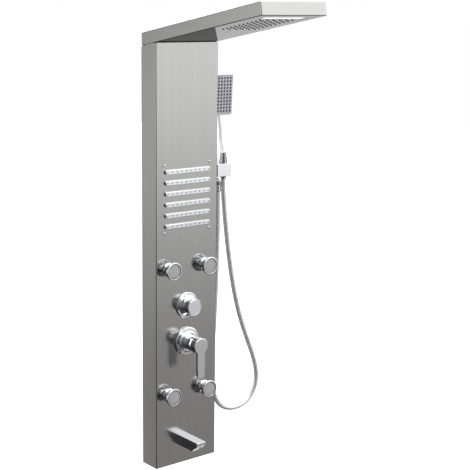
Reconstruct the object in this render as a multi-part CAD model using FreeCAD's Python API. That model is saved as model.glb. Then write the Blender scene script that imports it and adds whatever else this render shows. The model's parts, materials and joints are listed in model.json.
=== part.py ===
import FreeCAD, Part
import os
from math import acos, asin, cos, degrees, pi, radians, sin, sqrt, tan

from FreeCAD import Placement, Rotation, Vector

# Shower panel column for a wall. Millimetres, +Z up, viewer on the -Y side.
# Origin: on the wall plane, at the bottom of the column, on its centre line.

# Sheet-metal column
WIDTH = 220.0              # outside width of column and overhead
DEPTH = 70.0               # wall to front face
HEIGHT = 1240.0            # column height, measured on the wall plane
SHEET = 1.5                # stainless sheet
BEND = 3.0                 # outside bend radius of the sheet
RETURN_LIP = 16.0          # folded lip along the back of each side
CAP_LIP = 14.0             # upturned lip of the bottom cap

# Overhead shower, tilted up towards its front
TILT = 10.0                # degrees
REACH = 527.0              # along the slope, wall to front end
OVERHEAD_THICK = 36.0
SHADOW_GAP = 2.0           # open joint between column top and overhead
PLATE = 1.5                # polished spray plate
PLATE_START = 74.0         # the plate begins just in front of the column
NOZZLE_ROWS = 10           # rows from back to front
NOZZLE_COLUMNS = 6         # holes in a row, every other row is offset
FIELD_PITCH = 17.6         # between rows
FIELD_TO_END = 76.6        # last row to the front end
COLUMN_PITCH = 21.0        # between holes in a row
SPRAY_HOLE = 2.2           # corner radius of a six-sided hole
SLOT_TO_END = 27.0         # waterfall slot to the front end
SLOT_DEEP = 36.0
SLOT_WIDTH = 148.0
CHUTE_LIP = 12.0           # sloped lip inside the waterfall slot
CHAMBER_HEIGHT = 15.0
CHAMBER_MARGIN = 8.0       # chamber wall outside the outer holes
RAIN_FEED_X = -21.0
WATERFALL_FEED_X = 67.5
NECK_PLATE = 2.5           # steel straps between column and overhead
NECK_BELOW = 58.8          # their reach into the column and up into the overhead
NECK_ABOVE = 25.2
NECK_FRONT = 12.0          # clear of the column's front
NECK_BACK = 16.0           # clear of the wall
FIELD_START = REACH - FIELD_TO_END - FIELD_PITCH * (NOZZLE_ROWS - 1)
SLOT_END = REACH - SLOT_TO_END
SLOT_START = SLOT_END - SLOT_DEEP

# Wall brackets
BRACKET_LOW_Z = 130.0
BRACKET_DROP = 110.0       # upper bracket below the column's top
BRACKET_HIGH_Z = HEIGHT - BRACKET_DROP
BRACKET_HEIGHT = 34.0
BRACKET_SHEET = 2.0
BRACKET_HOLE_X = 75.0      # screw holes at both sides of the centre
BRACKET_HOLE_R = 3.0

# Massage bars
BAR_COUNT = 6
BAR_TOP_Z = 887.0
BAR_PITCH = 31.6
BAR_LENGTH = 160.0
BAR_HEIGHT = 13.5
BAR_OUT = 6.5              # how far a bar stands out of the panel
BAR_TONGUE = 8.0           # height of the tongue that passes the sheet
BAR_EDGE = 1.0
BAR_JETS = 10
BAR_JET_PITCH = 16.3
BAR_JET_R = 1.9
BAR_JET_OUT = 1.0
MANIFOLD_DEPTH = 16.0
MANIFOLD_MARGIN = 22.0
MANIFOLD_WALL = 3.0
MANIFOLD_ROUND = 8.0
SCREW_X = 80.0
SCREW_OFF_BAR = 19.0       # above the top bar and below the bottom one
SCREW_HEAD_R = 3.6
SCREW_HEAD_RIM = 0.8
SCREW_HEAD_OUT = 2.4
SCREW_R = 2.0
SCREW_LONG = 10.0          # thread behind the sheet

# Body jets
JET_X = 65.5
JET_HIGH_Z = 602.0
JET_LOW_Z = 222.0
JET_FLANGE_R = 20.5
JET_COLLAR_R = 17.0
JET_COLLAR_OUT = 13.0
JET_BALL_R = 13.0
JET_PIVOT_OUT = 10.0       # ball centre in front of the panel
JET_BALL_GAP = 0.06
JET_BARREL_R = 13.5
JET_BARREL_LONG = 26.0     # behind the panel
JET_NUT_R = 20.0
JET_NECK_R = 8.0
NUT_THICK = 7.0            # nuts behind the panel
JET_HEAD_R = 26.0
JET_HEAD_BACK = 21.0
JET_OUT = 31.0
JET_FACE_R = 21.5
JET_FACE_DEEP = 1.6

# Diverter
DIVERTER_Z = 487.0
DIVERTER_ROSETTE_R = 39.0
DIVERTER_NECK_R = 21.5
DIVERTER_NECK_OUT = 17.0
KNOB_R = 25.0
KNOB_BACK = 17.6
KNOB_OUT = 41.0
KNOB_WALL = 3.0
SPINDLE_R = 5.0
TURRET_R = 13.0            # neck of the valve body that passes the panel

# Single-lever mixer
MIXER_Z = 377.0
MIXER_ROSETTE_R = 43.0
MIXER_STEP_R = 31.0
MIXER_ROSETTE_OUT = 15.0
DOME_R = 23.0
DOME_WALL = 2.0
PIVOT_OUT = 37.0           # lever pivot in front of the panel
DOME_MOUTH_R = 12.5
LEVER_OUT = 73.0
LEVER_HUB_R = 24.0
LEVER_HUB_BACK = 50.0
LEVER_REACH = 94.0         # hub centre to the end of the paddle
PADDLE_WIDTH = 27.0
PADDLE_TIP = 23.0
PADDLE_TIP_RISE = 6.0      # height of the rounded end
PADDLE_THICK = 8.0
PADDLE_EDGE = 1.2
DOME_GAP = 0.5
CARTRIDGE_R = 17.5
CARRIER_R = 11.0
CARRIER_DEEP = 22.0        # its seat in the cartridge, below the pivot
CARRIER_FLOAT = 0.1
STEM_HALF = 4.0
PIN_R = 1.5
VALVE_R = 24.0
VALVE_DEEP = 46.0
SUPPLY_X = 62.0            # hot and cold nipples
SUPPLY_R = 10.3            # G1/2 male thread
SUPPLY_DROP = 42.0

# Bath spout
SPOUT_WIDTH = 32.0
SPOUT_TOP_Z = 81.0
SPOUT_BOTTOM_Z = 49.0
SPOUT_OUT = 75.0
SPOUT_NOSE = 12.0          # height of the upright front face
SPOUT_CHAMFER = 26.0       # how far the chamfer runs back
SPOUT_EDGE = 1.0
SPOUT_TAIL = 20.0          # tail behind the panel
SPOUT_TAIL_R = 10.0
AERATOR_R = 10.5
AERATOR_DEEP = 8.0
AERATOR_RIM = 3.5

# Hand shower, holder and outlet on the right side
HAND_X = WIDTH / 2 + 50.0  # axis of the hand shower
HAND_Y = -35.0
HOLDER_TOP_Z = 887.0
HOLDER_BOTTOM_Z = 854.0
HOLDER_START_X = WIDTH / 2 + 26.0
HOLDER_END_X = WIDTH / 2 + 76.0
HOLDER_DEPTH = 34.0
HOLDER_ROUND = 4.0
SEAT_TOP_R = 12.9          # tapered seat for the hose cone
SEAT_BOTTOM_R = 10.1
SEAT_GAP = 0.3
SLOT_GATE = 17.0           # gate for the hose, towards +X
HOLDER_FOOT_TOP_Z = 952.0
HOLDER_FOOT_DEPTH = 26.0
OUTLET_Z = 841.5
OUTLET_X = WIDTH / 2 + 30.0
OUTLET_R = 9.0
OUTLET_END_Z = 826.0
OUTLET_FLANGE_R = 13.5
HOSE_NUT_R = 9.6
HOSE_NUT_LONG = 18.0
HOSE_R = 7.1
CONE_BOTTOM_Z = 846.0
CONE_TOP_Z = 891.0
CONE_TAIL_R = 8.8
TAIL_R = 8.0               # threaded tail of the handset in the cone nut
TAIL_GAP = 0.05
TAIL_LONG = 16.0
NECK_TOP_Z = 919.0
NECK_BOTTOM_R = 13.0
NECK_TOP_R = 9.6
GRIP_WIDTH = 31.0
GRIP_THICK = 17.0
GRIP_RISE = 34.0           # above the neck, where the grip is nearly full
GRIP_FULL = 78.0
HEAD_BOTTOM_Z = 1040.0
HEAD_TOP_Z = 1147.0
HEAD_WIDTH = 66.0
HEAD_FRONT_Y = -47.0
HEAD_BACK_Y = -33.0
HEAD_ROUND = 7.0
HEAD_EDGE = 2.2
FACE_MARGIN = 3.0
FACE_THICK = 2.0
FACE_RECESS = 0.6
HAND_JET_COLUMNS = 5
HAND_JET_ROWS = 11
HAND_JET_PITCH_X = 11.9
HAND_JET_PITCH_Z = 9.7
HAND_JET_R = 1.6
HAND_JET_OUT = 1.0

# Hose route in the plane of the hand shower's axis, outlet first: out from the panel's side, and height.
HOSE_ROUTE = [
    (30.0, 808.0), (30.0, 770.0), (30.6, 722.0), (30.2, 668.0), (28.8, 612.0), (27.0, 554.0),
    (24.9, 496.0), (22.4, 440.0), (19.2, 386.0), (16.0, 334.0), (13.6, 284.0), (13.4, 236.0),
    (18.0, 190.0), (30.5, 152.0), (54.0, 126.5), (86.0, 113.5), (121.0, 112.5), (153.0, 123.0),
    (178.0, 146.0), (192.5, 180.0), (192.0, 220.0), (179.0, 266.0), (159.0, 314.0), (138.0, 364.0),
    (118.0, 418.0), (101.5, 476.0), (88.0, 536.0), (76.6, 598.0), (67.0, 660.0), (59.5, 720.0),
    (54.2, 768.0), (50.0, 812.0), (50.0, 846.0),
]

# Plumbing inside the column
TUBE_R = 6.0
RISER_X = 40.0             # rain tube on the left, waterfall tube on the right
REAR_Y = -26.0             # tubes that run behind the valves
PORT_RUN = 32.0            # straight run of a tube out of the diverter
HAND_TUBE_X = WIDTH / 2 - 18.0
HAND_TUBE_TOP_X = WIDTH / 2 - 34.0
MASSAGE_TUBE_Y = -28.5
OUTLET_TAIL = 14.0         # of the hand shower outlet, inside the column

parts = {}
panel_nuts = []


def flat_face(start, *steps):
    """Face in the XZ plane. A step of two numbers is a line, four are an arc through, to."""
    edges = []
    here = start
    for step in steps:
        there = step[-2:]
        a = Vector(here[0], 0, here[1])
        b = Vector(there[0], 0, there[1])
        if len(step) == 4:
            edges.append(Part.Arc(a, Vector(step[0], 0, step[1]), b).toShape())
        else:
            edges.append(Part.LineSegment(a, b).toShape())
        here = there
    if abs(here[0] - start[0]) + abs(here[1] - start[1]) > 1e-6:
        edges.append(Part.LineSegment(Vector(here[0], 0, here[1]),
                                      Vector(start[0], 0, start[1])).toShape())
    return Part.Face(Part.Wire(edges))


def turned(start, *steps):
    """Solid of revolution about Z from a profile of radius and height."""
    return flat_face(start, *steps).revolve(Vector(0, 0, 0), Vector(0, 0, 1), 360)


def dome(radius, base, rise):
    """Arc step from the rim of a round cap, at the given base height, to its top on the axis."""
    ball = (radius ** 2 + rise ** 2) / (2 * rise)
    half = asin(radius / ball) / 2
    return (ball * sin(half), base + rise - ball * (1 - cos(half)), 0, base + rise)


def profile_along_x(width, start, *steps):
    """Profile given as y and z, centred on x = 0 with the given width."""
    face = flat_face(start, *steps)
    face.Placement = Placement(Vector(-width / 2, 0, 0), Rotation(Vector(0, 0, 1), 90))
    return face.extrude(Vector(width, 0, 0))


def block(x0, x1, y0, y1, z0, z1):
    return Part.makeBox(x1 - x0, y1 - y0, z1 - z0, Vector(x0, y0, z0))


def rod(radius, low, high):
    return Part.makeCylinder(radius, high - low, Vector(0, 0, low))


def prism(sides, radius, low, high):
    """Upright prism with a regular base."""
    points = [Vector(radius * cos(2 * pi * i / sides), radius * sin(2 * pi * i / sides), low)
              for i in range(sides)]
    return Part.Face(Part.makePolygon(points + points[:1])).extrude(Vector(0, 0, high - low))


def rounded_wire(width, height, radius, z):
    """Rectangle with round corners in the plane at height z, centred on the Z axis."""
    w, h, r = width / 2, height / 2, radius
    k = r * (1 - sqrt(0.5))
    corners = [((w, h - r), (w - k, h - k), (w - r, h)), ((-w + r, h), (-w + k, h - k), (-w, h - r)),
               ((-w, -h + r), (-w + k, -h + k), (-w + r, -h)), ((w - r, -h), (w - k, -h + k), (w, -h + r))]
    edges = []
    for i, (a, mid, b) in enumerate(corners):
        after = corners[(i + 1) % 4][0]
        edges.append(Part.Arc(Vector(*a, z), Vector(*mid, z), Vector(*b, z)).toShape())
        if abs(b[0] - after[0]) + abs(b[1] - after[1]) > 1e-6:
            edges.append(Part.LineSegment(Vector(*b, z), Vector(*after, z)).toShape())
    return Part.Wire(edges)


def rounded_block(width, height, radius, low, high):
    return Part.Face(rounded_wire(width, height, radius, low)).extrude(Vector(0, 0, high - low))


def placed(shape, x, y, z, axis=None, angle=0.0):
    turn = Rotation(axis, angle) if axis else Rotation()
    copy = shape.copy()
    copy.Placement = Placement(Vector(x, y, z), turn).multiply(copy.Placement)
    return copy


def on_front(shape, x, z):
    """Moves a shape made about +Z onto the front face, with +Z pointing at the viewer."""
    return placed(shape, x, -DEPTH, z, Vector(1, 0, 0), 90)


def on_side(shape, y, z):
    """Moves a shape made about +Z onto the right side, with +Z pointing along +X."""
    return placed(shape, WIDTH / 2, y, z, Vector(0, 1, 0), 90)


def on_slope(shape):
    """Moves a shape from the level frame of the overhead to its place."""
    return placed(shape, 0, 0, HEIGHT, Vector(1, 0, 0), -TILT)


def joined(shapes):
    first, *rest = shapes
    return first.fuse(rest).removeSplitter() if rest else first


def above_slope(drop):
    """Everything above the plane that lies drop below the underside of the overhead."""
    size = 2 * REACH
    return on_slope(block(-size, size, -size, size, -drop, size))


def rounded_path(points, bend=None):
    """Wire of straight runs and tangent arcs. Returns the wire and its smallest arc."""
    edges = []
    smallest = None
    here = points[0]
    for before, corner, after in zip(points, points[1:], points[2:]):
        into = corner - before
        out = after - corner
        turn = into.getAngle(out)
        if turn < 1e-4:
            continue
        radius = bend or 0.45 * min(into.Length, out.Length) / tan(turn / 2)
        reach = radius * tan(turn / 2)
        start = corner - into / into.Length * reach
        end = corner + out / out.Length * reach
        inward = end + start - corner * 2
        middle = corner + inward / inward.Length * (radius / cos(turn / 2) - radius)
        if (start - here).Length > 1e-6:
            edges.append(Part.LineSegment(here, start).toShape())
        edges.append(Part.Arc(start, middle, end).toShape())
        smallest = min(radius, smallest or radius)
        here = end
    edges.append(Part.LineSegment(here, points[-1]).toShape())
    return Part.Wire(edges), smallest


def tube(points, radius, bend=None):
    """Solid rod of round section along a route, printed with its length and tightest arc."""
    route, smallest = rounded_path([Vector(*p) for p in points], bend)
    direction = Vector(*points[1]) - Vector(*points[0])
    section = Part.Wire(Part.Circle(Vector(*points[0]), direction, radius).toShape())
    solid = route.makePipeShell([section], True, False)
    error = solid.Volume / (pi * radius ** 2 * route.Length) - 1
    print(f"  route {route.Length:.1f} long, tightest arc {smallest or 0:.1f}, volume {error:+.4f}")
    return solid


# ---------------------------------------------------------------- column

def column_section(inset, back):
    """Outline of the column seen from above, drawn inside the sheet by inset."""
    x = WIDTH / 2 - inset
    y = -DEPTH + inset
    r = BEND - inset
    k = r * (1 - sqrt(0.5))
    face = flat_face((-x, back), (-x, y + r), (-x + k, y + k, -x + r, y), (x - r, y),
                     (x - k, y + k, x, y + r), (x, back))
    return placed(face, 0, 0, 0, Vector(1, 0, 0), -90)


def bar_heights():
    return [BAR_TOP_Z - BAR_PITCH * i for i in range(BAR_COUNT)]


def jet_places():
    return [(-JET_X, JET_HIGH_Z), (JET_X, JET_HIGH_Z), (-JET_X, JET_LOW_Z), (JET_X, JET_LOW_Z)]


def panel_screw_places():
    low = BAR_TOP_Z - BAR_PITCH * (BAR_COUNT - 1) - SCREW_OFF_BAR
    return [(x, z) for z in (BAR_TOP_Z + SCREW_OFF_BAR, low) for x in (-SCREW_X, SCREW_X)]


def stadium(length, height, low, high):
    return rounded_block(length, height, height / 2 - 0.001, low, high)


def make_column():
    tall = HEIGHT + DEPTH
    shell = column_section(0, 0).extrude(Vector(0, 0, tall))
    shell = shell.cut(column_section(SHEET, -SHEET).extrude(Vector(0, 0, tall)))
    gap = WIDTH / 2 - RETURN_LIP
    shell = shell.cut(block(-gap, gap, -2 * SHEET, SHEET, -SHEET, tall))
    shell = shell.cut(above_slope(SHADOW_GAP))
    through = -2 * SHEET
    holes = [on_front(rod(TURRET_R, through, SHEET), 0, DIVERTER_Z),
             on_front(rod(DOME_R - DOME_WALL, through, SHEET), 0, MIXER_Z),
             on_front(rod(SPOUT_TAIL_R, through, SHEET), 0, (SPOUT_TOP_Z + SPOUT_BOTTOM_Z) / 2),
             on_side(rod(OUTLET_R, through, SHEET), HAND_Y, OUTLET_Z)]
    holes += [on_front(rod(JET_BARREL_R, through, SHEET), x, z) for x, z in jet_places()]
    holes += [on_front(rod(SCREW_R, through, SHEET), x, z) for x, z in panel_screw_places()]
    slot = stadium(BAR_LENGTH - BAR_HEIGHT + BAR_TONGUE, BAR_TONGUE, through, SHEET)
    holes += [on_front(slot, 0, z) for z in bar_heights()]
    parts["column_shell"] = shell.cut(holes)

    tray = column_section(SHEET, -SHEET).extrude(Vector(0, 0, CAP_LIP))
    side = WIDTH / 2 - 2 * SHEET
    tray = tray.cut(block(-side, side, -DEPTH + 2 * SHEET, -2 * SHEET, SHEET, CAP_LIP))
    rear = block(-gap, gap, -SHEET, 0, 0, CAP_LIP)
    parts["bottom_cap"] = joined([tray, rear])


def make_wall_brackets():
    """Hat-shaped straps. Their ends lie on the column's folded lips, the middle on the wall."""
    inner = WIDTH / 2 - SHEET
    flat = WIDTH / 2 - RETURN_LIP
    for name, z in (("wall_bracket_lower", BRACKET_LOW_Z), ("wall_bracket_upper", BRACKET_HIGH_Z)):
        low = z - BRACKET_HEIGHT / 2
        high = z + BRACKET_HEIGHT / 2
        front = -SHEET - BRACKET_SHEET
        strap = block(-inner, inner, front, -SHEET, low, high)
        pad = block(-flat, flat, front, 0, low, high)
        dish = block(-flat + BRACKET_SHEET + SHEET, flat - BRACKET_SHEET - SHEET,
                     front - SHEET, -BRACKET_SHEET, low, high)
        strap = joined([strap, pad]).cut(dish)
        hole = placed(rod(BRACKET_HOLE_R, -DEPTH, SHEET), 0, 0, 0, Vector(1, 0, 0), -90)
        parts[name] = strap.cut([placed(hole, side * BRACKET_HOLE_X, 0, z) for side in (-1, 1)])


# ---------------------------------------------------------------- overhead

def overhead_outline(inset, floor):
    """Side profile of the overhead in its level frame, y and z, with its back on the wall."""
    lean = tan(radians(TILT))
    top = OVERHEAD_THICK - inset
    back = -inset / cos(radians(TILT))
    return profile_along_x(WIDTH - 2 * inset, (back - floor * lean, floor), (-REACH + inset, floor),
                           (-REACH + inset, top), (back - top * lean, top))


def spray_places():
    places = []
    for row in range(2 * NOZZLE_ROWS - 1):
        count = NOZZLE_COLUMNS - row % 2
        y = -FIELD_START - FIELD_PITCH / 2 * row
        places += [((i - (count - 1) / 2) * COLUMN_PITCH, y) for i in range(count)]
    return places


def chute_height():
    return OVERHEAD_THICK - SHEET - PLATE - 4


def make_overhead():
    shell = overhead_outline(0, 0)
    long_edges = [e for e in shell.Edges
                  if abs(e.Length - REACH) < DEPTH and e.CenterOfMass.z > OVERHEAD_THICK / 2]
    shell = shell.makeFillet(BEND - 0.5, long_edges)
    hollow = overhead_outline(SHEET, -SHEET)
    parts["overhead_shell"] = on_slope(shell.cut(hollow))

    half = WIDTH / 2 - SHEET
    plate = block(-half, half, -REACH + SHEET, -PLATE_START, 0, PLATE)
    holes = [placed(prism(6, SPRAY_HOLE, -PLATE, 2 * PLATE), x, y, 0) for x, y in spray_places()]
    slot = block(-SLOT_WIDTH / 2, SLOT_WIDTH / 2, -SLOT_END, -SLOT_START, -PLATE, 2 * PLATE)
    parts["overhead_spray_plate"] = on_slope(plate.cut(holes + [slot]))

    reach_x = COLUMN_PITCH * (NOZZLE_COLUMNS - 1) / 2 + CHAMBER_MARGIN
    back = -FIELD_START + CHAMBER_MARGIN
    front = -FIELD_START - FIELD_PITCH * (NOZZLE_ROWS - 1) - CHAMBER_MARGIN
    wall = PLATE
    box = block(-reach_x, reach_x, front, back, PLATE, PLATE + CHAMBER_HEIGHT)
    room = block(-reach_x + wall, reach_x - wall, front + wall, back - wall,
                 2 * PLATE, PLATE + CHAMBER_HEIGHT - wall)
    socket = placed(rod(TUBE_R - 1, -CHAMBER_HEIGHT, CHAMBER_HEIGHT), RAIN_FEED_X, back,
                    PLATE + CHAMBER_HEIGHT / 2, Vector(1, 0, 0), 90)
    parts["rain_chamber"] = on_slope(box.cut([room, socket]))

    tips = [placed(prism(6, SPRAY_HOLE, 0, PLATE), x, y, 0) for x, y in spray_places()]
    parts["rain_nozzles"] = on_slope(Part.makeCompound(tips))

    tall = chute_height()
    outer = block(-SLOT_WIDTH / 2 - wall, SLOT_WIDTH / 2 + wall, -SLOT_END - wall,
                  -SLOT_START + wall, PLATE, PLATE + tall)
    mouth = block(-SLOT_WIDTH / 2, SLOT_WIDTH / 2, -SLOT_END, -SLOT_START, 0, PLATE + tall - wall)
    lip = profile_along_x(SLOT_WIDTH, (-SLOT_START, CHUTE_LIP / 2), (-SLOT_START - CHUTE_LIP, CHUTE_LIP * 1.3),
                          (-SLOT_START - CHUTE_LIP, CHUTE_LIP * 1.45), (-SLOT_START, CHUTE_LIP))
    feed = placed(rod(TUBE_R - 1, -CHAMBER_HEIGHT, 2 * wall), WATERFALL_FEED_X, -SLOT_START + wall,
                  PLATE + tall - CHAMBER_HEIGHT / 2, Vector(1, 0, 0), 90)
    parts["waterfall_chute"] = on_slope(outer.cut([mouth, feed]).fuse(lip))

    inner = WIDTH / 2 - SHEET
    strap = block(0, NECK_PLATE, -DEPTH + NECK_FRONT, -NECK_BACK, HEIGHT - NECK_BELOW, HEIGHT + NECK_ABOVE)
    parts["neck_straps"] = Part.makeCompound([placed(strap, inner - NECK_PLATE, 0, 0),
                                              placed(strap, -inner, 0, 0)])


# ---------------------------------------------------------------- massage bars

def make_massage_bars():
    tongue_long = BAR_LENGTH - BAR_HEIGHT + BAR_TONGUE
    face = stadium(BAR_LENGTH, BAR_HEIGHT, 0, BAR_OUT)
    rim = [e for e in face.Edges if e.CenterOfMass.z > BAR_OUT - 1e-3]
    face = face.makeChamfer(BAR_EDGE, rim)
    bar = joined([face, stadium(tongue_long, BAR_TONGUE, -SHEET, 0)])
    for i, z in enumerate(bar_heights()):
        parts[f"massage_bar_{i + 1}"] = on_front(bar, 0, z)

    tip = placed(prism(6, BAR_JET_R, 0, BAR_JET_OUT), 0, 0, BAR_OUT)
    first = -BAR_JET_PITCH * (BAR_JETS - 1) / 2
    tips = [on_front(tip, first + BAR_JET_PITCH * i, z)
            for z in bar_heights() for i in range(BAR_JETS)]
    parts["massage_nozzles"] = Part.makeCompound(tips)

    middle = BAR_TOP_Z - BAR_PITCH * (BAR_COUNT - 1) / 2
    tall = BAR_PITCH * (BAR_COUNT - 1) + 2 * MANIFOLD_MARGIN + 2 * BAR_JET_R
    wide = BAR_LENGTH + MANIFOLD_MARGIN
    back = -SHEET - MANIFOLD_DEPTH
    tray = rounded_block(wide, tall, MANIFOLD_ROUND, back, -SHEET)
    room = rounded_block(wide - MANIFOLD_MARGIN, tall - 2 * MANIFOLD_MARGIN + BAR_HEIGHT,
                         MANIFOLD_ROUND / 2, back + MANIFOLD_WALL, -SHEET)
    places = [(x, z - middle) for x, z in panel_screw_places()]
    holes = [placed(rod(SCREW_R, back, 0), x, z, 0) for x, z in places]
    port = rod(TUBE_R, back - SHEET, back + 2 * MANIFOLD_WALL)
    parts["massage_manifold"] = on_front(tray.cut([room, port] + holes), 0, middle)

    end = -SHEET - SCREW_LONG
    head = turned((0, end), (SCREW_R, end), (SCREW_R, 0), (SCREW_HEAD_R, 0),
                  (SCREW_HEAD_R, SCREW_HEAD_RIM), (SCREW_R, SCREW_HEAD_OUT), (0, SCREW_HEAD_OUT))
    parts["massage_screws"] = Part.makeCompound([on_front(head, x, z)
                                                 for x, z in panel_screw_places()])


# ---------------------------------------------------------------- body jets

def make_jets():
    ball = JET_BALL_R + JET_BALL_GAP
    socket = turned((0, -JET_BARREL_LONG), (JET_BARREL_R, -JET_BARREL_LONG), (JET_BARREL_R, 0),
                    (JET_FLANGE_R, 0), (JET_FLANGE_R, 1.6), (JET_COLLAR_R + 1, 3.6),
                    (JET_COLLAR_R, 4.4), (JET_COLLAR_R, JET_COLLAR_OUT - 0.8),
                    (JET_COLLAR_R - 0.8, JET_COLLAR_OUT), (0, JET_COLLAR_OUT))
    hollow = placed(Part.makeSphere(ball), 0, 0, JET_PIVOT_OUT)
    water = rod(TUBE_R, -JET_BARREL_LONG, JET_PIVOT_OUT)
    flange = socket.cut([hollow, water])

    nut = prism(6, JET_NUT_R, -SHEET - NUT_THICK, -SHEET).cut(rod(JET_BARREL_R, -DEPTH, 0))

    neck = JET_NECK_R
    rise = sqrt(JET_BALL_R ** 2 - neck ** 2)
    low = -JET_BALL_R * 0.8
    foot = sqrt(JET_BALL_R ** 2 - low ** 2)
    c = JET_PIVOT_OUT
    head = turned((0, c + low), (foot, c + low), (JET_BALL_R, c, neck, c + rise),
                  (neck, JET_HEAD_BACK - 1.5), (JET_HEAD_R - 3, JET_HEAD_BACK),
                  (JET_HEAD_R, JET_HEAD_BACK + 3), (JET_HEAD_R, JET_OUT - 1.2),
                  (JET_HEAD_R - 1.2, JET_OUT), (JET_FACE_R, JET_OUT),
                  (JET_FACE_R, JET_OUT - JET_FACE_DEEP - 2), (0, JET_OUT - JET_FACE_DEEP - 2))
    face = turned((0, JET_OUT - JET_FACE_DEEP - 2), (JET_FACE_R, JET_OUT - JET_FACE_DEEP - 2),
                  (JET_FACE_R, JET_OUT - JET_FACE_DEEP), (0, JET_OUT - JET_FACE_DEEP + 0.6))
    for i, (x, z) in enumerate(jet_places()):
        parts[f"jet_flange_{i + 1}"] = on_front(flange, x, z)
        parts[f"jet_head_{i + 1}"] = on_front(head, x, z)
        parts[f"jet_face_{i + 1}"] = on_front(face, x, z)
        panel_nuts.append(on_front(nut, x, z))


# ---------------------------------------------------------------- diverter

def make_diverter():
    body = joined([rod(VALVE_R, -SHEET - VALVE_DEEP, -SHEET), rod(TURRET_R, -SHEET, DIVERTER_NECK_OUT - 5)])
    body = body.cut(rod(SPINDLE_R + TAIL_GAP, -SHEET - VALVE_DEEP + 12, DIVERTER_NECK_OUT))
    parts["diverter_body"] = on_front(body, 0, DIVERTER_Z)

    r = DIVERTER_ROSETTE_R
    neck = DIVERTER_NECK_R
    rosette = turned((TURRET_R, 0), (r, 0), (r, 2.4), (r - 1.6, 3.7),
                     (r - 9, 6.6, neck + 2.6, 8.8), (neck, 11.2),
                     (neck, DIVERTER_NECK_OUT - 0.8), (neck - 0.8, DIVERTER_NECK_OUT),
                     (neck - 3, DIVERTER_NECK_OUT), (neck - 3, 5), (TURRET_R, 5))
    parts["diverter_rosette"] = on_front(rosette, 0, DIVERTER_Z)

    knob = turned((SPINDLE_R, KNOB_BACK), (KNOB_R - 1, KNOB_BACK), (KNOB_R, KNOB_BACK + 1),
                  (KNOB_R, KNOB_OUT - 1.6), (KNOB_R - 1.6, KNOB_OUT),
                  (0, KNOB_OUT), (0, KNOB_OUT - KNOB_WALL), (SPINDLE_R, KNOB_OUT - KNOB_WALL))
    hollow = turned((SPINDLE_R + KNOB_WALL, KNOB_BACK - 1), (KNOB_R - KNOB_WALL, KNOB_BACK - 1),
                    (KNOB_R - KNOB_WALL, KNOB_OUT - KNOB_WALL - 4),
                    (SPINDLE_R + KNOB_WALL, KNOB_OUT - KNOB_WALL - 4))
    parts["diverter_knob"] = on_front(knob.cut(hollow), 0, DIVERTER_Z)
    parts["diverter_spindle"] = on_front(rod(SPINDLE_R, -SHEET - VALVE_DEEP + 12.1,
                                             KNOB_OUT - KNOB_WALL), 0, DIVERTER_Z)


# ---------------------------------------------------------------- mixer

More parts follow.
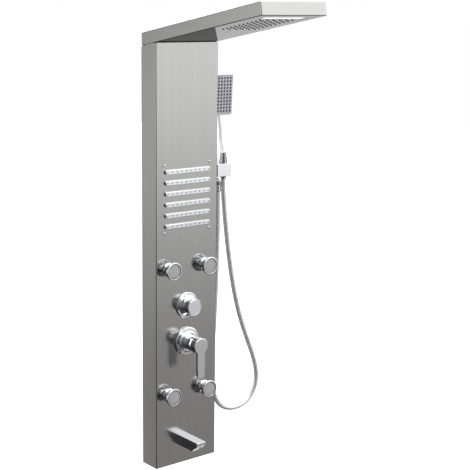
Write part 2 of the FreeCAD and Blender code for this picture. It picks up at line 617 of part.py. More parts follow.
def make_mixer():
    turret = DOME_R - DOME_WALL
    back = -SHEET - VALVE_DEEP
    floor = back + 14
    body = joined([rod(VALVE_R, back, -SHEET), rod(turret, -SHEET, PIVOT_OUT - 10)])
    body = body.cut(rod(CARTRIDGE_R, floor, PIVOT_OUT))
    arm = placed(rod(TUBE_R * 1.5, -SUPPLY_X, SUPPLY_X), 0, 0, back + VALVE_DEEP / 2,
                 Vector(0, 1, 0), 90)
    core = rod(VALVE_R - 1, back - 1, 0)
    arms = [s for s in arm.cut(core).Solids]
    drops = []
    for side in (-1, 1):
        leg = placed(rod(SUPPLY_R, 0, SUPPLY_DROP), side * SUPPLY_X, TUBE_R,
                     back + VALVE_DEEP / 2, Vector(1, 0, 0), 90)
        drops.append(leg)
    body = joined([body] + arms + drops)
    parts["mixer_body"] = on_front(body, 0, MIXER_Z)

    r = MIXER_ROSETTE_R
    s = MIXER_STEP_R
    rosette = turned((DOME_R, 0), (r, 0), (r, 4.8), (r - 2.6, 7.4), (s + 1, 8.6), (s, 10.4),
                     (s - 0.8, 13.4, s - 3.6, MIXER_ROSETTE_OUT - 0.6),
                     (DOME_R + 1, MIXER_ROSETTE_OUT), (DOME_R, MIXER_ROSETTE_OUT))
    parts["mixer_rosette"] = on_front(rosette, 0, MIXER_Z)

    mouth = sqrt(DOME_R ** 2 - DOME_MOUTH_R ** 2)
    inner = DOME_R - DOME_WALL
    inner_mouth = sqrt(inner ** 2 - DOME_MOUTH_R ** 2)
    half = radians(45)
    sleeve = turned((inner, 0), (DOME_R, 0), (DOME_R, PIVOT_OUT),
                    (DOME_R * cos(half * 0.7), PIVOT_OUT + DOME_R * sin(half * 0.7),
                     DOME_MOUTH_R, PIVOT_OUT + mouth), (DOME_MOUTH_R, PIVOT_OUT + inner_mouth),
                    (inner * cos(half * 0.7), PIVOT_OUT + inner * sin(half * 0.7), inner, PIVOT_OUT))
    parts["mixer_sleeve"] = on_front(sleeve, 0, MIXER_Z)

    low = floor
    cartridge = rod(CARTRIDGE_R, low, PIVOT_OUT - 4)
    bore = rod(CARRIER_R + TAIL_GAP, PIVOT_OUT - CARRIER_DEEP, PIVOT_OUT)
    parts["mixer_cartridge"] = on_front(cartridge.cut(bore), 0, MIXER_Z)

    carrier = rod(CARRIER_R, PIVOT_OUT - CARRIER_DEEP + CARRIER_FLOAT, PIVOT_OUT + 5)
    slot = block(-STEM_HALF - CARRIER_FLOAT, STEM_HALF + CARRIER_FLOAT, -CARRIER_R - 1, CARRIER_R + 1,
                 PIVOT_OUT - 7, PIVOT_OUT + 6)
    pin = placed(rod(PIN_R, -CARRIER_R * 0.8, CARRIER_R * 0.8), 0, 0, PIVOT_OUT, Vector(0, 1, 0), 90)
    parts["mixer_carrier"] = on_front(carrier.cut(slot).fuse(pin), 0, MIXER_Z)

    # Lever: a hollow hub over the dome, a flat paddle hanging down and a stem on the pin.
    shell = turned((0, LEVER_HUB_BACK), (LEVER_HUB_R - 0.8, LEVER_HUB_BACK),
                   (LEVER_HUB_R, LEVER_HUB_BACK + 0.8), (LEVER_HUB_R, LEVER_OUT - PADDLE_EDGE),
                   (LEVER_HUB_R - PADDLE_EDGE, LEVER_OUT), (0, LEVER_OUT))
    end = -LEVER_REACH
    tip = PADDLE_TIP / 2
    root = PADDLE_WIDTH / 2
    plan = flat_face((-root, 0), (-root, end * 0.6), (-tip, end + PADDLE_TIP_RISE),
                     (0, end, tip, end + PADDLE_TIP_RISE), (root, end * 0.6), (root, 0))
    paddle = placed(plan, 0, 0, 0, Vector(1, 0, 0), -90).extrude(Vector(0, 0, PADDLE_THICK))
    top_rim = [e for e in paddle.Edges
               if e.CenterOfMass.z > PADDLE_THICK - 1e-3 and e.CenterOfMass.y < -1]
    paddle = placed(paddle.makeChamfer(PADDLE_EDGE, top_rim), 0, 0, LEVER_OUT - PADDLE_THICK)
    hollow = placed(Part.makeSphere(DOME_R + DOME_GAP), 0, 0, PIVOT_OUT)
    stem = block(-STEM_HALF, STEM_HALF, -STEM_HALF, STEM_HALF, PIVOT_OUT, PIVOT_OUT + DOME_R + 2)
    toe = placed(rod(STEM_HALF + 1, -STEM_HALF, STEM_HALF), 0, 0, PIVOT_OUT, Vector(0, 1, 0), 90)
    eye = placed(rod(PIN_R + TAIL_GAP, -CARRIER_R, CARRIER_R), 0, 0, PIVOT_OUT, Vector(0, 1, 0), 90)
    lever = joined([shell, paddle]).cut(hollow)
    parts["mixer_lever"] = on_front(joined([lever, stem, toe]).cut(eye), 0, MIXER_Z)


# ---------------------------------------------------------------- spout

def make_spout():
    front = -DEPTH - SPOUT_OUT
    middle = (SPOUT_TOP_Z + SPOUT_BOTTOM_Z) / 2
    nose = SPOUT_TOP_Z - SPOUT_NOSE
    spout = profile_along_x(SPOUT_WIDTH, (-DEPTH, SPOUT_BOTTOM_Z), (front + SPOUT_CHAMFER, SPOUT_BOTTOM_Z),
                            (front, nose), (front, SPOUT_TOP_Z), (-DEPTH, SPOUT_TOP_Z))
    long_edges = [e for e in spout.Edges if e.Length > SPOUT_CHAMFER and abs(e.CenterOfMass.x) > 1
                  and e.CenterOfMass.y > front + 1 and abs(e.CenterOfMass.y + DEPTH) > 1]
    spout = spout.makeChamfer(SPOUT_EDGE, long_edges)
    tail = on_front(rod(SPOUT_TAIL_R, -SHEET - SPOUT_TAIL, 0), 0, middle)
    slope = degrees(acos(SPOUT_CHAMFER / sqrt(SPOUT_CHAMFER ** 2 + (nose - SPOUT_BOTTOM_Z) ** 2)))
    mouth_y = front + SPOUT_CHAMFER * 0.52
    mouth_z = nose + (SPOUT_BOTTOM_Z - nose) * 0.52
    seat = placed(rod(AERATOR_R, 0, AERATOR_DEEP), 0, mouth_y, mouth_z, Vector(1, 0, 0), -slope)
    channel = on_front(rod(SPOUT_TAIL_R * 0.7, -SHEET - SPOUT_TAIL, SPOUT_OUT - SPOUT_CHAMFER * 0.8),
                       0, middle)
    parts["spout_body"] = joined([spout, tail]).cut([seat, channel])
    ring = turned((AERATOR_R - AERATOR_RIM, 0), (AERATOR_R, 0), (AERATOR_R, AERATOR_DEEP),
                  (0, AERATOR_DEEP), (0, AERATOR_RIM), (AERATOR_R - AERATOR_RIM, AERATOR_RIM))
    aerator = placed(ring, 0, mouth_y, mouth_z, Vector(1, 0, 0), -slope)
    parts["spout_aerator"] = aerator.cut(channel)
    nut = prism(6, SPOUT_TAIL_R * 1.6, -SHEET - NUT_THICK, -SHEET).cut(rod(SPOUT_TAIL_R, -DEPTH, 0))
    panel_nuts.append(on_front(nut, 0, middle))


# ---------------------------------------------------------------- hand shower side

def make_holder():
    foot = HOLDER_FOOT_DEPTH / 2
    side = WIDTH / 2
    low = HOLDER_BOTTOM_Z + 1
    knee = HOLDER_TOP_Z + 8
    profile = flat_face((side, low), (HOLDER_START_X, low), (HOLDER_START_X, knee),
                        (side + 17, knee + 30, side + 2.5, HOLDER_FOOT_TOP_Z), (side, HOLDER_FOOT_TOP_Z))
    bracket = placed(profile, 0, HAND_Y - foot, 0).extrude(Vector(0, 2 * foot, 0))
    parts["holder_bracket"] = bracket

    middle = (HOLDER_START_X + HOLDER_END_X) / 2
    body = rounded_block(HOLDER_END_X - HOLDER_START_X, HOLDER_DEPTH, HOLDER_ROUND,
                         HOLDER_BOTTOM_Z, HOLDER_TOP_Z)
    body = placed(body, middle, HAND_Y, 0)
    seat = turned((0, HOLDER_BOTTOM_Z), (SEAT_BOTTOM_R, HOLDER_BOTTOM_Z), (SEAT_TOP_R, HOLDER_TOP_Z),
                  (0, HOLDER_TOP_Z))
    gate = block(0, HOLDER_END_X, -SLOT_GATE / 2, SLOT_GATE / 2, HOLDER_BOTTOM_Z, HOLDER_TOP_Z)
    cutter = joined([seat, gate])
    parts["holder_block"] = body.cut(placed(cutter, HAND_X, HAND_Y, 0))


def make_outlet():
    side = WIDTH / 2
    flange = on_side(turned((0, 0), (OUTLET_FLANGE_R, 0), (OUTLET_FLANGE_R - 1.5, 4), (0, 4)),
                     HAND_Y, OUTLET_Z)
    pipe = on_side(rod(OUTLET_R, -SHEET - OUTLET_TAIL, OUTLET_X - side), HAND_Y, OUTLET_Z)
    corner = placed(Part.makeSphere(OUTLET_R), OUTLET_X, HAND_Y, OUTLET_Z)
    drop = placed(rod(OUTLET_R, OUTLET_END_Z, OUTLET_Z), OUTLET_X, HAND_Y, 0)
    parts["hose_outlet"] = joined([flange, pipe, corner, drop])


def cone_radius(z):
    """Radius of the hose cone, a fixed gap inside the holder's tapered seat."""
    share = (z - HOLDER_BOTTOM_Z) / (HOLDER_TOP_Z - HOLDER_BOTTOM_Z)
    return SEAT_BOTTOM_R + (SEAT_TOP_R - SEAT_BOTTOM_R) * share - SEAT_GAP


def make_hose():
    nut_low = OUTLET_END_Z - HOSE_NUT_LONG
    nut = prism(12, HOSE_NUT_R, nut_low, OUTLET_END_Z)
    parts["hose_swivel_nut"] = placed(nut, OUTLET_X, HAND_Y, 0)

    top = CONE_TOP_Z
    cone = turned((0, CONE_BOTTOM_Z), (CONE_TAIL_R - 0.6, CONE_BOTTOM_Z), (CONE_TAIL_R, CONE_BOTTOM_Z + 3),
                  (cone_radius(HOLDER_BOTTOM_Z), HOLDER_BOTTOM_Z), (cone_radius(top), top), (0, top))
    bore = rod(TAIL_R + TAIL_GAP, top - TAIL_LONG - 0.5, top + 1)
    parts["hose_cone_nut"] = placed(cone.cut(bore), HAND_X, HAND_Y, 0)

    print("hose")
    parts["shower_hose"] = tube([(WIDTH / 2 + out, HAND_Y, z) for out, z in HOSE_ROUTE], HOSE_R)


def make_handset():
    base = CONE_TOP_Z + SEAT_GAP
    neck = turned((0, CONE_TOP_Z - TAIL_LONG), (TAIL_R, CONE_TOP_Z - TAIL_LONG), (TAIL_R, base),
                  (NECK_BOTTOM_R - 0.8, base), (NECK_BOTTOM_R, base + 0.8), (NECK_TOP_R, NECK_TOP_Z),
                  (0, NECK_TOP_Z))
    grip = Part.makeLoft([rounded_wire(2 * NECK_TOP_R, 2 * NECK_TOP_R, NECK_TOP_R - 0.05, NECK_TOP_Z),
                          rounded_wire(GRIP_WIDTH - 4, GRIP_THICK, 7.5, NECK_TOP_Z + GRIP_RISE),
                          rounded_wire(GRIP_WIDTH, GRIP_THICK - 1, 6.5, NECK_TOP_Z + GRIP_FULL),
                          rounded_wire(GRIP_WIDTH, GRIP_THICK - 4, 5.5, HEAD_BOTTOM_Z + 4)], True)
    stick = placed(joined([neck, grip]), HAND_X, HAND_Y, 0)
    thick = HEAD_BACK_Y - HEAD_FRONT_Y
    tall = HEAD_TOP_Z - HEAD_BOTTOM_Z
    middle = (HEAD_TOP_Z + HEAD_BOTTOM_Z) / 2
    head = rounded_block(HEAD_WIDTH, tall, HEAD_ROUND, 0, thick)
    rims = [e for e in head.Edges if e.CenterOfMass.z < 1e-3]
    head = head.makeChamfer(HEAD_EDGE, rims)
    recess = rounded_block(HEAD_WIDTH - 2 * FACE_MARGIN, tall - 2 * FACE_MARGIN,
                           HEAD_ROUND - FACE_MARGIN, thick - FACE_THICK - FACE_RECESS, thick)
    face = rounded_block(HEAD_WIDTH - 2 * FACE_MARGIN, tall - 2 * FACE_MARGIN,
                         HEAD_ROUND - FACE_MARGIN, thick - FACE_THICK - FACE_RECESS,
                         thick - FACE_RECESS)

    def on_head(shape):
        return placed(shape, HAND_X, HEAD_BACK_Y, middle, Vector(1, 0, 0), 90)

    body = joined([stick, on_head(head)])
    parts["handset_body"] = body.cut(on_head(recess))
    parts["handset_face"] = on_head(face)
    tip = prism(6, HAND_JET_R, thick - FACE_RECESS, thick - FACE_RECESS + HAND_JET_OUT)
    tips = []
    for row in range(HAND_JET_ROWS):
        for column in range(HAND_JET_COLUMNS):
            x = (column - (HAND_JET_COLUMNS - 1) / 2) * HAND_JET_PITCH_X
            z = (row - (HAND_JET_ROWS - 1) / 2) * HAND_JET_PITCH_Z
            tips.append(on_head(placed(tip, x, z, 0)))
    parts["handset_nozzles"] = Part.makeCompound(tips)


# ---------------------------------------------------------------- plumbing

def slope_point(x, y, z):
    """A point given in the level frame of the overhead."""
    point = on_slope(Part.Vertex(x, y, z)).Point
    return (point.x, point.y, point.z)


def make_plumbing():
    valve_y = -DEPTH + SHEET + VALVE_DEEP / 2

    def port(angle, out=0.0):
        """A point beside the diverter, counted from the right, out beyond its wall."""
        reach = VALVE_R + out
        return (reach * cos(radians(angle)), valve_y, DIVERTER_Z + reach * sin(radians(angle)))

    print("mixer to diverter")
    parts["transfer_tube"] = tube([(0, valve_y, MIXER_Z + VALVE_R), (0, valve_y, DIVERTER_Z - VALVE_R)],
                                  TUBE_R)

    neck = -DEPTH * 0.62
    rain_z = PLATE + CHAMBER_HEIGHT / 2
    print("rain tube")
    parts["rain_tube"] = tube([port(135), port(135, PORT_RUN), (-RISER_X, valve_y, HEIGHT - 2 * NECK_BELOW),
                               (RAIN_FEED_X, neck, HEIGHT - NECK_BELOW),
                               slope_point(RAIN_FEED_X, neck, rain_z),
                               slope_point(RAIN_FEED_X, -FIELD_START + CHAMBER_MARGIN, rain_z)], TUBE_R)
    fall_z = PLATE + chute_height() - CHAMBER_HEIGHT / 2
    print("waterfall tube")
    parts["waterfall_tube"] = tube([port(45), port(45, PORT_RUN), (RISER_X, valve_y, HEIGHT - 2 * NECK_BELOW),
                                    (WATERFALL_FEED_X, neck, HEIGHT - NECK_BELOW),
                                    slope_point(WATERFALL_FEED_X, neck, fall_z),
                                    slope_point(WATERFALL_FEED_X, -SLOT_START + PLATE, fall_z)], TUBE_R)

    middle = BAR_TOP_Z - BAR_PITCH * (BAR_COUNT - 1) / 2
    back = -DEPTH + SHEET + MANIFOLD_DEPTH
    rise = middle - DIVERTER_Z
    print("massage tube")
    parts["massage_tube"] = tube([port(90), (0, valve_y, DIVERTER_Z + rise * 0.3),
                                  (0, MASSAGE_TUBE_Y, DIVERTER_Z + rise * 0.65),
                                  (0, MASSAGE_TUBE_Y, middle), (0, back, middle)], TUBE_R)

    print("jet tubes")
    barrel = -DEPTH + JET_BARREL_LONG
    sides = []
    for side, angle in ((-1, 180), (1, 0)):
        x = side * JET_X
        down = tube([(x, barrel, JET_HIGH_Z), (x, REAR_Y, JET_HIGH_Z), (x, REAR_Y, JET_LOW_Z),
                     (x, barrel, JET_LOW_Z)], TUBE_R)
        branch = tube([port(angle), port(angle, PORT_RUN / 2), (x, REAR_Y, DIVERTER_Z)], TUBE_R)
        sides.append(joined([down, branch]))
    parts["jet_tubes"] = Part.makeCompound(sides)

    spout_z = (SPOUT_TOP_Z + SPOUT_BOTTOM_Z) / 2
    tail = -DEPTH + SHEET + SPOUT_TAIL
    print("spout tube")
    parts["spout_tube"] = tube([port(225), port(225, PORT_RUN), (-RISER_X, REAR_Y, MIXER_Z + SUPPLY_DROP),
                                (-RISER_X, REAR_Y, JET_LOW_Z), (0, REAR_Y, 2 * spout_z),
                                (0, REAR_Y, spout_z), (0, tail, spout_z)], TUBE_R)

    end = WIDTH / 2 - SHEET - OUTLET_TAIL
    rise = OUTLET_Z - DIVERTER_Z
    print("hand shower tube")
    parts["hand_shower_tube"] = tube([port(315), port(315, PORT_RUN * 0.7),
                                      (HAND_TUBE_X, valve_y, DIVERTER_Z),
                                      (HAND_TUBE_X, valve_y, DIVERTER_Z + rise * 0.5),
                                      (HAND_TUBE_TOP_X, HAND_Y, DIVERTER_Z + rise * 0.7),
                                      (HAND_TUBE_TOP_X, HAND_Y, OUTLET_Z), (end, HAND_Y, OUTLET_Z)], TUBE_R)


make_column()
make_wall_brackets()
make_overhead()
make_massage_bars()
make_jets()
make_diverter()
make_mixer()
make_spout()
make_holder()
make_outlet()
make_hose()
make_handset()
make_plumbing()
parts["panel_nuts"] = Part.makeCompound(panel_nuts)

os.makedirs("parts", exist_ok=True)
for name, shape in sorted(parts.items()):
    if not shape.isValid():
        print("not valid:", name)
    shape.exportStep(f"parts/{name}.step")
print(len(parts), "parts")
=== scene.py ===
import json
from math import asin, atan2, cos, hypot, pi, radians, sin, sqrt, tan
from types import SimpleNamespace as Sizes

import bmesh
import bpy
from mathutils import Matrix, Vector


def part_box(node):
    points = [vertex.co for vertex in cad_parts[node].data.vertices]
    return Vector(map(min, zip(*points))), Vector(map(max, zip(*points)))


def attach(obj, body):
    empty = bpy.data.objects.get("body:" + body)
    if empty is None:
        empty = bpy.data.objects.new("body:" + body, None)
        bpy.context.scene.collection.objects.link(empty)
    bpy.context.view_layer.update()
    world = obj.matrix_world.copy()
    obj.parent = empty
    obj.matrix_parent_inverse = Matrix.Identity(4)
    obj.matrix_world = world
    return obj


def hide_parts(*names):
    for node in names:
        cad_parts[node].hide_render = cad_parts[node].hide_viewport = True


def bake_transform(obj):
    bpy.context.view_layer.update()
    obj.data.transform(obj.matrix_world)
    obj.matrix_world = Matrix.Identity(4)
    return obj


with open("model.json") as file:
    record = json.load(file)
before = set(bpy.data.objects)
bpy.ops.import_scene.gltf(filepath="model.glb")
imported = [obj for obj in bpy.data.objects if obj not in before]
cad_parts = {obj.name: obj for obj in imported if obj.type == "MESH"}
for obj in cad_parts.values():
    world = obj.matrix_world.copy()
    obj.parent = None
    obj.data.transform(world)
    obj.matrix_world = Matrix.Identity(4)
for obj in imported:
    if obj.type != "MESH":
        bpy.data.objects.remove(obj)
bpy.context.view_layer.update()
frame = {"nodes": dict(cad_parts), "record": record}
mm = 0.001


def newObject(name, data):
    made = bpy.data.objects.new(name, data)
    bpy.context.collection.objects.link(made)
    return made


# The camera stands where the photograph was taken from.

cameraSettings = {
    "place": (-1.9746, -2.7102, 1.3630),
    "heading": 39.22,        # degrees, from +Y towards +X
    "dip": 11.40,
    "roll": 0.71,
    "focalPixels": 1154.8,
    "imagePixels": 470,
    "sensor": 36.0,
    "clipEnd": 60.0,
}


def makeCamera():
    size = Sizes(**cameraSettings)
    data = bpy.data.cameras.new("photoCamera")
    data.sensor_width = size.sensor
    data.lens = size.focalPixels / size.imagePixels * size.sensor
    data.clip_end = size.clipEnd
    camera = newObject("photoCamera", data)
    camera.matrix_world = (Matrix.Translation(size.place)
                           @ Matrix.Rotation(radians(-size.heading), 4, "Z")
                           @ Matrix.Rotation(radians(90 - size.dip), 4, "X")
                           @ Matrix.Rotation(radians(size.roll), 4, "Z"))
    bpy.context.scene.camera = camera


makeCamera()
print("camera placed")


def addNode(tree, kind, values=None, **sources):  # values are settings or sockets, sources are linked
    made = tree.nodes.new(kind)
    for key, value in (values or {}).items():
        if key in made.bl_rna.properties:
            setattr(made, key, value)
        else:
            made.inputs[key].default_value = value
    for key, source in sources.items():
        tree.links.new(source, made.inputs[key.replace("_", " ")])
    return made


# Finishes. Patterns read Object coordinates, in metres.

patternFloor, patternCeiling = 0.3, 0.7    # of the noise, spread over a finish's whole range


def shaderOf(finish):
    return finish.node_tree.nodes["Principled BSDF"]


def newFinish(name, colour, metallic, roughness=0.5, specular=0.5):
    finish = bpy.data.materials.new(name)
    finish.use_nodes = True
    inputs = shaderOf(finish).inputs
    inputs["Base Color"].default_value = (*colour, 1)
    inputs["Metallic"].default_value = metallic
    inputs["Roughness"].default_value = roughness
    inputs["Specular IOR Level"].default_value = specular
    return finish


def patternOn(finish, stretch, detail=2.0):  # noise on Object coordinates, stretched by axis
    tree = finish.node_tree
    place = addNode(tree, "ShaderNodeTexCoord")
    mapping = addNode(tree, "ShaderNodeMapping", {"Scale": stretch}, Vector=place.outputs["Object"])
    noise = addNode(tree, "ShaderNodeTexNoise", {"Scale": 1.0, "Detail": detail}, Vector=mapping.outputs[0])
    return noise.outputs["Fac"]


def varyRoughness(finish, pattern, low, high):
    tree = finish.node_tree
    ranged = addNode(tree, "ShaderNodeMapRange", {"From Min": patternFloor, "From Max": patternCeiling,
                                                  "To Min": low, "To Max": high}, Value=pattern)
    tree.links.new(ranged.outputs["Result"], shaderOf(finish).inputs["Roughness"])


def varyColour(finish, pattern, darker, lighter):
    tree = finish.node_tree
    ramp = addNode(tree, "ShaderNodeValToRGB", Fac=pattern)
    ends = (patternFloor, darker), (patternCeiling, lighter)
    for element, (place, colour) in zip(ramp.color_ramp.elements, ends):
        element.position = place
        element.color = (*colour, 1)
    tree.links.new(ramp.outputs["Color"], shaderOf(finish).inputs["Base Color"])


def addBump(finish, pattern, strength, distance):
    tree = finish.node_tree
    bump = addNode(tree, "ShaderNodeBump", {"Strength": strength, "Distance": distance}, Height=pattern)
    tree.links.new(bump.outputs["Normal"], shaderOf(finish).inputs["Normal"])


brushedSettings = {
    "colour": (0.47, 0.468, 0.464), "darker": (0.461, 0.459, 0.455), "lighter": (0.479, 0.477, 0.473),
    "anisotropy": 0.5, "roughness": (0.12, 0.18), "grainDetail": 3.0, "reliefDepth": 0.00003,
}


def makeBrushed(name, streaks, grainStretch, relief):
    size = Sizes(**brushedSettings)
    finish = newFinish(name, size.colour, 1.0)
    shaderOf(finish).inputs["Anisotropic"].default_value = size.anisotropy
    varyColour(finish, patternOn(finish, streaks), size.darker, size.lighter)
    grain = patternOn(finish, grainStretch, size.grainDetail)
    varyRoughness(finish, grain, *size.roughness)
    addBump(finish, grain, relief, size.reliefDepth)
    return finish


plateSettings = {
    "colour": (0.40, 0.40, 0.40), "darker": (0.37, 0.37, 0.37), "lighter": (0.43, 0.43, 0.43),
    "edgeTint": (0.46, 0.46, 0.46, 1), "streaks": (260, 12, 260), "cloud": (30, 30, 30),
    "roughness": (0.06, 0.1),
}


def makePolishedPlate():
    size = Sizes(**plateSettings)
    finish = newFinish("polishedPlate", size.colour, 1.0)
    shaderOf(finish).inputs["Specular Tint"].default_value = size.edgeTint
    varyColour(finish, patternOn(finish, size.streaks), size.darker, size.lighter)
    varyRoughness(finish, patternOn(finish, size.cloud), *size.roughness)
    return finish


# slot or use: name, colour, how metallic, stretch and detail of the pattern, least and most roughness
plainFinishes = {
    "chrome": ("chrome", (0.86, 0.87, 0.90), 1.0, 60, 2.0, 0.025, 0.045),
    "satin": ("satinSilver", (0.86, 0.88, 0.93), 1.0, 300, 3.0, 0.26, 0.34),
    # chrome painted darker than the other chrome to stand in for dark reflections: painted shade, on the hose
    # outlet, the panel screws and the hand shower's neck
    "shaded": ("paintedShadeChrome", (0.42, 0.42, 0.43), 1.0, 90, 2.0, 0.07, 0.13),
    # the hand shower's chrome grip painted near-white and mostly not metallic: a painted bright reflection of
    # the studio
    "grip": ("gripPaintedReflection", (0.96, 0.96, 0.97), 0.15, 110, 2.0, 0.26, 0.36),
    "spray": ("sprayFace", (0.42, 0.425, 0.46), 0.55, 420, 2.0, 0.34, 0.48),
    "steel_hardware": ("steelHardware", (0.50, 0.50, 0.49), 1.0, 240, 2.0, 0.32, 0.5),
    "brass": ("brass", (0.72, 0.52, 0.24), 1.0, 150, 2.0, 0.26, 0.42),
    "white_plastic": ("whitePlastic", (0.86, 0.86, 0.85), 0.0, 90, 2.0, 0.3, 0.42),
    "grey_face": ("greyFace", (0.43, 0.43, 0.44), 0.55, 500, 2.0, 0.36, 0.5),
    "dark_rubber": ("darkRubber", (0.03, 0.03, 0.04), 0.0, 400, 2.0, 0.5, 0.65),
    "tube_plastic": ("tubePlastic", (0.74, 0.76, 0.78), 0.0, 80, 2.0, 0.34, 0.48),
    "hose_metal": ("hoseMetal", (0.64, 0.64, 0.645), 0.75, 120, 2.0, 0.24, 0.34),
    "cartridge_plastic": ("cartridgePlastic", (0.62, 0.66, 0.70), 0.0, 120, 2.0, 0.34, 0.48),
}


def makePlainFinish(name, colour, metallic, stretch, detail, least, most):
    finish = newFinish(name, colour, metallic)
    varyRoughness(finish, patternOn(finish, (stretch,) * 3, detail), least, most)
    return finish


finishes = {use: makePlainFinish(*values) for use, values in plainFinishes.items()}
finishes["brushed_panel"] = makeBrushed("brushedPanel", (75, 75, 0.6), (900, 900, 14), 0.1)
finishes["brushed_overhead"] = makeBrushed("overheadBrushed", (75, 0.6, 75), (220, 14, 900), 0.03)
finishes["polished_plate"] = makePolishedPlate()


def finishFramePieces():  # the frame's own solids, of which some stay in view
    for part in frame["record"]["subparts"]:
        for slot in frame["nodes"][part["node"]].material_slots:
            slot.material = finishes[part["material_slot"]]


finishFramePieces()
print("finishes made")


sharpAngle = radians(32)    # between faces whose edge stays sharp
weldDistance = 0.0001       # millimetres
smallSides, faceSides, mediumSides, largeSides = 64, 72, 96, 128    # round a turned form


def spread(start, end, steps):
    return [start + (end - start) * i / steps for i in range(steps + 1)]


# Outlines are lists of points in millimetres. A step of two numbers is a line to a corner, three
# numbers a corner with its rounding, four numbers an arc through one point to another.

def outline(*steps):
    points = []
    for step in steps:
        if len(step) == 4:
            points += arcThrough(points[-1][:2], step[:2], step[2:])
        else:
            points.append((step[0], step[1], step[2] if len(step) == 3 else 0))
    return points


def arcThrough(start, through, end, count=10):
    (x1, y1), (x2, y2), (x3, y3) = start, through, end
    d = 2 * (x1 * (y2 - y3) + x2 * (y3 - y1) + x3 * (y1 - y2))
    a, b, c = x1 * x1 + y1 * y1, x2 * x2 + y2 * y2, x3 * x3 + y3 * y3
    cx = (a * (y2 - y3) + b * (y3 - y1) + c * (y1 - y2)) / d
    cy = (a * (x3 - x2) + b * (x1 - x3) + c * (x2 - x1)) / d
    first = atan2(y1 - cy, x1 - cx)
    turnTo = [(atan2(y - cy, x - cx) - first) % (2 * pi) for x, y in (through, end)]
    sweep = turnTo[1] if turnTo[0] < turnTo[1] else turnTo[1] - 2 * pi
    radius = hypot(x1 - cx, y1 - cy)
    return [(cx + radius * cos(angle), cy + radius * sin(angle), 0)
            for angle in spread(first, first + sweep, count)[1:]]


def softened(points, closed=False, steps=5):  # rounds the corners and keeps flats flat
    support = 0.25    # a point on each flat, this far from the rounding
    mostShare = 0.48    # of a side, for the rounding at one end
    result = []
    count = len(points)
    for i, (x, y, radius) in enumerate(points):
        here = Vector((x, y))
        before = Vector(points[i - 1][:2]) if closed or i > 0 else None
        after = Vector(points[(i + 1) % count][:2]) if closed or i < count - 1 else None
        if not before or not after or radius <= 0:
            result.append((x, y))
            continue
        u = (before - here).normalized()
        v = (after - here).normalized()
        angle = u.angle(v)
        reach = min(radius / tan(angle / 2), mostShare * (before - here).length,
                    mostShare * (after - here).length)
        radius = reach * tan(angle / 2)
        centre = here + (u + v).normalized() * radius / sin(angle / 2)
        a = here + u * reach - centre
        b = here + v * reach - centre
        sweep = a.angle_signed(b)
        if (before - here).length > reach + 2 * support:
            result.append(tuple(here + u * (reach + support)))
        for step in range(steps + 1):
            turned = Matrix.Rotation(-sweep * step / steps, 2) @ a
            result.append(tuple(centre + turned))
        if (after - here).length > reach + 2 * support:
            result.append(tuple(here + v * (reach + support)))
    return result


def turnedForm(profile, sides=mediumSides, closed=False):  # radius and height about +Z
    vertices, rows, faces = [], [], []
    for radius, height in profile:
        count = 1 if radius < 1e-6 else sides
        rows.append(range(len(vertices), len(vertices) + count))
        vertices += [(radius * cos(2 * pi * i / sides), radius * sin(2 * pi * i / sides), height)
                     for i in range(count)]
    for a, b in zip(rows, rows[1:] + (rows[:1] if closed else [])):
        for i in range(sides):
            j = (i + 1) % sides
            if len(a) == 1 and len(b) > 1:
                faces.append((a[0], b[j], b[i]))
            elif len(b) == 1 and len(a) > 1:
                faces.append((a[i], a[j], b[0]))
            elif len(a) > 1:
                faces.append((a[i], a[j], b[j], b[i]))
    return vertices, faces


def softTurned(profile, sides=mediumSides, closed=False):
    return turnedForm(softened(profile, closed), sides, closed)


def loftedForm(rings, capped=True):  # rings of equal count, capped with a flat face at each end
    count = len(rings[0])
    if capped:
        capShare = 0.96    # size of the flat face inside each end ring
        ends = []
        for ring in (rings[0], rings[-1]):
            middle = sum((Vector(p) for p in ring), Vector((0, 0, 0))) / count
            ends.append([tuple(middle + (Vector(p) - middle) * capShare) for p in ring])
        rings = [ends[0]] + rings + [ends[1]]
    vertices = [p for ring in rings for p in ring]
    faces = []
    for row in range(len(rings) - 1):
        for i in range(count):
            j = (i + 1) % count
            faces.append((row * count + i, row * count + j, (row + 1) * count + j, (row + 1) * count + i))
    if capped:
        faces.append(tuple(range(count)))
        faces.append(tuple(range(len(vertices) - count, len(vertices))))
    return vertices, faces


def insetRing(points, distance, height):  # moves a closed outline inwards along its normals
    count = len(points)
    area = sum(points[i][0] * points[(i + 1) % count][1] - points[(i + 1) % count][0] * points[i][1]
               for i in range(count))
    side = 1 if area > 0 else -1
    ring = []
    for i, (x, y) in enumerate(points):
        before, after = Vector(points[i - 1]), Vector(points[(i + 1) % count])
        here = Vector((x, y))
        u = (here - before).normalized()
        v = (after - here).normalized()
        normal = Vector((-(u.y + v.y), u.x + v.x)).normalized() * side
        slant = max(0.5, sqrt(max(0.0, (1 + u.dot(v)) / 2)))
        ring.append((x + normal.x * distance / slant, y + normal.y * distance / slant, height))
    return ring


def roundedFoot(low, size, steps=5):  # heights and insets of a rounded edge, from the face to the side
    return [(low + size * (1 - cos(a)), size * (1 - sin(a))) for a in spread(0, pi / 2, steps)]


def roundedTop(high, size, steps=5):  # the same, from the side to the face
    return [(high - size * (1 - sin(a)), size * (1 - cos(a))) for a in spread(0, pi / 2, steps)]


def ringsAt(plan, levels):
    return [insetRing(plan, inset, level) for level, inset in levels]


def slabForm(plan, low, high, lowRound, highRound):
    foot = roundedFoot(low, lowRound) if lowRound else [(low, 0)]
    return loftedForm(ringsAt(plan, foot + roundedTop(high, highRound)))


def frameForm(outer, inner, low, high, bevel=0.0):  # a flat plate with an opening, both of as many points
    rings = [insetRing(outer, bevel, low), insetRing(inner, -bevel, low)]
    if bevel:
        rings = [insetRing(outer, 0, low + bevel)] + rings + [insetRing(inner, 0, low + bevel)]
    rings += [insetRing(inner, 0, high), insetRing(outer, 0, high)]
    return loftedForm(rings + rings[:1], capped=False)


